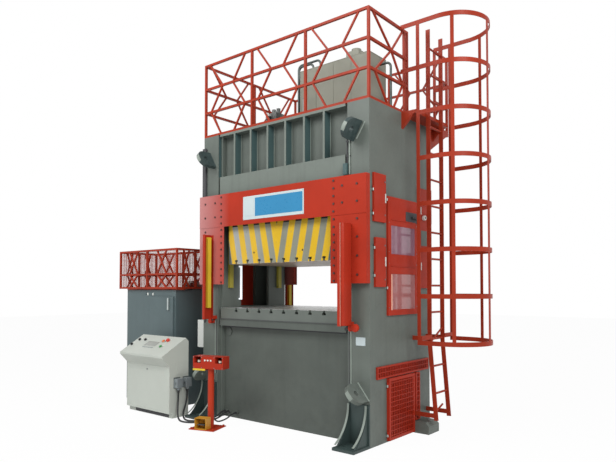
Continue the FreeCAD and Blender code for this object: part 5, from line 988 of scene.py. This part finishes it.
class PRESS_OT_crown(bpy.types.Operator):
    """Add the conduit, its sensor box, weld beads painted pale as highlights, painted shade on the
    rib sides and the tank's fittings
    """
    bl_idname = "press.crown"
    bl_label = "Crown details"

    def execute(self, context):
        weld = context.scene.press_fittings.weld_radius
        discs("crown_conduit", "pale_enamel", [((1.064, -0.009, 2.867), UP, 0.008, 0.44)], sides=16)
        bm = bmesh.new()
        add_disc(bm, (1.031, -0.007, 2.985), UP, 0.006, 0.42, sides=16)
        for z in (3.06, 3.22, 3.37):
            add_box(bm, (1.02, -0.015, z), (1.076, 0.0, z + 0.012), bevel=0.002)
        piece_from(bm, "crown_cable_run", "dark_trim", smooth=True)
        boxes("crown_sensor_box", "shade_enamel", [((0.99, -0.034, 2.862), (1.042, 0.0, 2.989))],
              bevel=0.004)
        # weld beads at the ribs' feet, painted pale as painted highlights
        discs("rib_welds", "pale_enamel", [
            ((x, 0.108, 3.095), UP, weld, 0.545) for edge in RIB_EDGES for x in (edge, edge - 0.026)],
            sides=8)
        # thin dark sheets on the side faces of the ribs and the recess edge: painted shade
        boxes("rib_sides", "shade_enamel", [
            ((edge + 0.0003, 0.006, 3.094), (edge + 0.0012, 0.102, 3.622))
            for edge in (RECESS_EDGE, *RIB_EDGES)])
        (left, front, low), (right, rear, top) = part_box("top_tank")
        seams = [((left + step - 0.004, front - 0.004, low + 0.02),
                  (left + step + 0.004, front, top - 0.02), 0.0015) for step in (0.26, 0.53, 0.79)]
        seams += [((left - 0.003, front - 0.003, top - 0.006),
                   (right + 0.003, rear + 0.003, top + 0.004)),
                  ((left - 0.006, front - 0.006, low + 0.001), (right + 0.006, front, low + 0.03))]
        boxes("tank_seams", "tank_enamel", seams, bevel=0.002)
        boxes("tank_level_glass", "display_glass", [
            ((left + 0.05, front - 0.018, low + 0.12), (left + 0.075, front, low + 0.42))],
            bevel=0.003)
        bolts = [((left + 0.0625, front - 0.022, z), BACK, 0.012, 0.022)
                 for z in (low + 0.11, low + 0.41)]
        pot_low, pot_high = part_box("tank_breather")
        bolts += [((x, y, top + 0.11), UP, 0.009, 0.008)
                  for x in (pot_low[0] + 0.02, pot_high[0] - 0.02)
                  for y in (pot_low[1] + 0.02, pot_high[1] - 0.02)]
        discs("tank_bolts", "pipe_steel", bolts, smooth=False, sides=6, bevel=0.001)
        return {"FINISHED"}


VALVE_TOP = 1.685
COIL_HALF = Vector((0.024, 0.024, 0.024))
PLUG_HALF = Vector((0.015, 0.015, 0.015))
PIPE_BENDS = [(0.255, 1.655), (0.16, 1.655), (0.105, 1.655), (0.1, 1.64), (0.1, 1.625)]


def coil_valve(metal, coils, plugs, foot, axis, reach):
    """Solenoid valve: steel tube, black square coil and pale plug."""
    add_disc(metal, foot, axis, 0.014, reach, sides=16, bevel=0.002)
    middle = Vector(foot) + axis * reach * 0.45
    add_box(coils, middle - COIL_HALF, middle + COIL_HALF, bevel=0.004)
    plug = middle + (FORWARD if abs(axis.y) < 0.5 else UP) * 0.036
    add_box(plugs, plug - PLUG_HALF, plug + PLUG_HALF, bevel=0.003)


class PRESS_OT_valves(bpy.types.Operator):
    """Add solenoid valves, bolts and pipes on the power unit and the crown, and cabinet latches"""
    bl_idname = "press.valves"
    bl_label = "Valve details"

    def execute(self, context):
        metal, coils, plugs = bmesh.new(), bmesh.new(), bmesh.new()
        for x in (-2.085, -2.04, -1.995, -1.95):
            add_box(metal, (x - 0.018, 0.345, VALVE_TOP), (x + 0.018, 0.535, VALVE_TOP + 0.046),
                    bevel=0.003)
            coil_valve(metal, coils, plugs, (x, 0.345, VALVE_TOP + 0.023), FORWARD, 0.08)
        coil_valve(metal, coils, plugs, (-0.47, 0.4, 3.85), FORWARD, 0.09)
        coil_valve(metal, coils, plugs, (-0.56, 0.45, 3.78), -RIGHT, 0.09)
        piece_from(metal, "valve_bodies", "cast_grey", smooth=True)
        piece_from(coils, "valve_coils", "black_plastic")
        piece_from(plugs, "valve_plugs", "white_enamel")
        discs("valve_bolts", "pipe_steel",
              [((x, y, 3.924), UP, 0.009, 0.012) for x in (-0.545, -0.395) for y in (0.415, 0.585)],
              smooth=False, sides=6, bevel=0.001)
        boxes("cabinet_latches", "white_enamel",
              [((x, -0.012, 1.546), (x + 0.024, 0.0, 1.584)) for x in (-2.556, -2.432)], bevel=0.003)
        for name, x in (("unit_pipe_front", -2.052), ("unit_pipe_rear", -1.977)):
            bent_bar(name, [(x, *bend) for bend in PIPE_BENDS], 0.01, "pipe_steel")
        return {"FINISHED"}


# --- body, guards and doors
GUSSET_CENTRE = (-0.4729, 0.44)
GUSSET_ROUND = 0.4329
GUSSET_SWEEP = math.radians(62.8)
GUSSET_STEPS = 16
STRIP_THICKNESS = 0.0015
STRIP_WIDTH = 0.025
COLUMN_LOW, COLUMN_HIGH = 0.555, 1.235
# Ends of the bead beside the foot of each right lug, across and up; the bead is painted pale as a
# painted highlight.
LUG_WELD_HIGHLIGHTS = [((1.156, 0.66), (1.298, 0.481)), ((1.255, 3.404), (1.147, 3.238))]


def add_arc_strip(bm, low_x, high_x):
    """Thin strip of pale paint along the hollow edge of an anchor foot's gusset, as a painted
    highlight.
    """
    inner = GUSSET_ROUND - STRIP_THICKNESS
    rings = []
    for index in range(GUSSET_STEPS + 1):
        angle = -GUSSET_SWEEP * index / GUSSET_STEPS
        rings.append([bm.verts.new((x, GUSSET_CENTRE[0] + radius * math.cos(angle),
                                    GUSSET_CENTRE[1] + radius * math.sin(angle)))
                      for x, radius in ((low_x, GUSSET_ROUND), (high_x, GUSSET_ROUND),
                                        (high_x, inner), (low_x, inner))])
    for first, second in zip(rings, rings[1:]):
        for side in range(4):
            following = (side + 1) % 4
            bm.faces.new((first[side], first[following], second[following], second[side]))
    bm.faces.new(rings[0])
    bm.faces.new(reversed(rings[-1]))


class PRESS_OT_body(bpy.types.Operator):
    """Add weld beads, pale strips and beads as painted highlights, dark seams, a painted shadow under
    the bed plate and small fittings on the columns and the bed
    """
    bl_idname = "press.body"
    bl_label = "Body details"

    def execute(self, context):
        weld = context.scene.press_fittings.weld_radius
        # pale strips by the column flanges' edges: painted highlights
        boxes("column_edge_strips", "pale_enamel", [
            ((x, -0.006, COLUMN_LOW), (x + 0.014, 0.0, COLUMN_HIGH)) for x in (-1.08, 1.066)],
            bevel=0.002)
        # dark seams at the flange edges and above the bed plate; the last strip is a painted shadow
        # under the bed plate
        boxes("body_seams", "dark_trim", [
            ((-1.051, -0.004, COLUMN_LOW), (-1.043, 0.0, COLUMN_HIGH), 0.001),
            ((1.043, -0.004, COLUMN_LOW), (1.051, 0.0, COLUMN_HIGH), 0.001),
            ((-0.975, -0.0015, 1.2565), (0.975, 0.0, 1.264)),
            ((-1.028, 0.089, 1.15), (1.028, 0.0995, 1.1715))])
        beads = [((x, 0.094, 0.02), UP, weld, 1.12) for x in (-1.03, 1.03)]
        beads += [((-1.03, 0.096, 1.166), RIGHT, weld, 2.06)]
        beads += [((x, y, 0.02), UP, weld * 0.8, 3.6)
                  for x in (-1.305, 1.305) for y in (0.045, 1.255)]
        discs("body_welds", "body_enamel", beads, sides=8)
        beads = []
        caps = bmesh.new()
        edges = bmesh.new()
        for side in (-1, 1):
            for (x, z), (end_x, end_z) in LUG_WELD_HIGHLIGHTS:
                axis = Vector((side * (end_x - x), 0, end_z - z))
                beads.append(((side * x, 0, z), axis, 0.008, axis.length))
            add_disc(caps, (side * 1.11, -0.14, 1.225), FORWARD, 0.019, 0.01, bevel=0.003)
            add_disc(caps, (side * 1.06, -0.06, 1.232), UP, 0.01, 0.026, sides=16, bevel=0.002)
            for start in (1.048, 1.269):
                add_arc_strip(edges, *sorted((side * start, side * (start + STRIP_WIDTH))))
        # lug weld beads painted pale as painted highlights
        discs("lug_welds", "pale_enamel", beads, sides=8)
        piece_from(caps, "sensor_caps", "black_plastic", smooth=True)
        bm = bmesh.new()
        add_box(bm, (1.0855, -0.206, 1.262), (1.128, -0.07, 2.33), bevel=0.003)
        add_box(bm, (1.128, -0.092, 1.214), (1.17, -0.07, 1.262), bevel=0.003)
        add_disc(bm, (1.18, -0.062, 1.236), FORWARD, 0.042, 0.032, sides=32, bevel=0.005)
        piece_from(bm, "channel_duct", "guard_enamel", smooth=True)
        # pale red strip on the channel's edge: a painted highlight
        boxes("channel_edge", "rim_enamel", [((1.0815, -0.213, 1.262), (1.0865, -0.2105, 2.33))],
              bevel=0.0008)
        # painted highlights along the feet's gusset edges
        piece_from(edges, "foot_edges", "pale_enamel", smooth=True)
        boxes("left_window_cover", "guard_enamel", [((-1.322, 0.327, 1.354), (-1.3105, 0.975, 2.65))],
              bevel=0.003)
        for index, (rear_z, front_z) in enumerate(((1.19, 1.045), (0.3, 0.2))):
            bends = [(1.526, 1.203, rear_z), (1.526, 1.066, (rear_z + front_z) / 2),
                     (1.526, 0.93, front_z)]
            bent_bar("ladder_brace_%d" % index, bends, 0.011, "rail_enamel")
        return {"FINISHED"}


# Front of the covers and doors on the right side, and each cover's rear edge, ends and grip.
SKIN = 1.3355
COVERS = {"upper_cover": (0.284, 2.352, 2.868, 2.563), "lower_cover": (0.28, 1.662, 2.186, 1.883)}


class PRESS_OT_doors(bpy.types.Operator):
    """Add locks, grips, screws and sheets, and a rim painted pale as a painted highlight, on the
    covers and doors of the right side
    """
    bl_idname = "press.doors"
    bl_label = "Door details"

    def execute(self, context):
        discs("window_door_screws", "pipe_steel", [
            ((SKIN, y, z), RIGHT, 0.006, 0.003) for y in (0.345, 0.945)
            for z in (1.44, 1.918, 2.045, 2.365)],
            body="window_door_leaf", sides=12, bevel=0.001)
        for name, (rear, low, high, grip) in COVERS.items():
            bm = bmesh.new()
            for z in (low + 0.08, high - 0.08):
                add_disc(bm, (SKIN, rear - 0.022, z), RIGHT, 0.01, 0.004, sides=20, bevel=0.001)
                add_box(bm, (SKIN + 0.003, rear - 0.029, z - 0.002),
                        (SKIN + 0.006, rear - 0.015, z + 0.002))
            piece_from(bm, name + "_locks", "pipe_steel", body=name + "_leaf", smooth=True)
            boxes(name + "_grip", "white_enamel", [
                ((SKIN, rear - 0.022, grip), (SKIN + 0.011, rear - 0.011, grip + 0.1))],
                bevel=0.002, body=name + "_leaf")
        boxes("rear_door_patch", "body_enamel", [((SKIN, 1.06, 2.152), (SKIN + 0.002, 1.21, 2.331))],
              bevel=0.0006, body="rear_door_leaf")
        discs("rear_door_barrels", "white_enamel", [
            ((SKIN + 0.006, 1.052, z), UP, 0.006, 0.088) for z in (1.862, 2.52)],
            body="rear_door_leaf", sides=16, bevel=0.001)
        discs("rear_door_knob", "white_enamel", [((SKIN, 1.112, 2.482), RIGHT, 0.03, 0.034)],
              body="rear_door_leaf", sides=32, bevel=0.006)
        discs("rear_door_keyhole", "black_plastic",
              [((SKIN + 0.034, 1.112, 2.482), RIGHT, 0.012, 0.002)],
              body="rear_door_leaf", bevel=0.0005)
        boxes("window_door_sheets", "guard_enamel", [
            ((SKIN, 0.372, 2.335), (SKIN + 0.001, 0.932, 2.602), 0.0004),
            ((SKIN, 0.372, 1.805), (SKIN + 0.001, 0.932, 2.022), 0.0004),
            ((SKIN + 0.001, 0.385, 1.885), (SKIN + 0.008, 0.915, 1.895)),
            ((SKIN + 0.001, 0.385, 2.395), (SKIN + 0.008, 0.915, 2.405))],
            bevel=0.002, body="window_door_leaf")
        # pale red strip at the lower pane's left: a painted highlight
        boxes("window_door_rim", "rim_enamel", [((SKIN, 0.38, 1.412), (SKIN + 0.004, 0.405, 1.8))],
              bevel=0.001, body="window_door_leaf")
        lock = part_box("window_door")[1][0]
        boxes("window_lock_cover", "dark_trim", [
            ((lock - 0.02, 0.7013, 2.3985), (lock + 0.0008, 0.9557, 2.5145))],
            bevel=0.0015, body="window_door_leaf")
        return {"FINISHED"}


# --- add-on
STEPS = ["stage", "cables", "finishes", "plates", "mesh", "desk", "pedestal", "crown", "valves",
         "body", "doors"]


class PRESS_PT_panel(bpy.types.Panel):
    """Steps of the finish"""
    bl_idname = "PRESS_PT_panel"
    bl_label = "Press finish"
    bl_space_type = "VIEW_3D"
    bl_region_type = "UI"
    bl_category = "Press"

    def draw(self, context):
        scene = context.scene
        for group in (scene.press_paints, scene.press_fittings, scene.press_stage):
            box = self.layout.box()
            for name in group.bl_rna.properties.keys():
                if name not in {"rna_type", "name"}:
                    box.prop(group, name)
        for step in STEPS:
            self.layout.operator("press." + step)


CLASSES = [
    PressPaints, PressFittings, StageSettings, PRESS_OT_stage, PRESS_OT_cables, PRESS_OT_finishes,
    PRESS_OT_plates, PRESS_OT_mesh, PRESS_OT_desk, PRESS_OT_pedestal, PRESS_OT_crown,
    PRESS_OT_valves, PRESS_OT_body, PRESS_OT_doors, PRESS_PT_panel,
]
GROUPS = {"press_paints": PressPaints, "press_fittings": PressFittings, "press_stage": StageSettings}


def register():
    """Register the classes and the settings on the scene."""
    for kind in CLASSES:
        bpy.utils.register_class(kind)
    for name, kind in GROUPS.items():
        setattr(bpy.types.Scene, name, bpy.props.PointerProperty(type=kind))


def unregister():
    """Remove the settings and the classes."""
    for name in GROUPS:
        delattr(bpy.types.Scene, name)
    for kind in reversed(CLASSES):
        bpy.utils.unregister_class(kind)


def main():
    """Dress the whole press."""
    register()
    for step in STEPS:
        getattr(bpy.ops.press, step)()


if __name__ == "__main__":
    main()
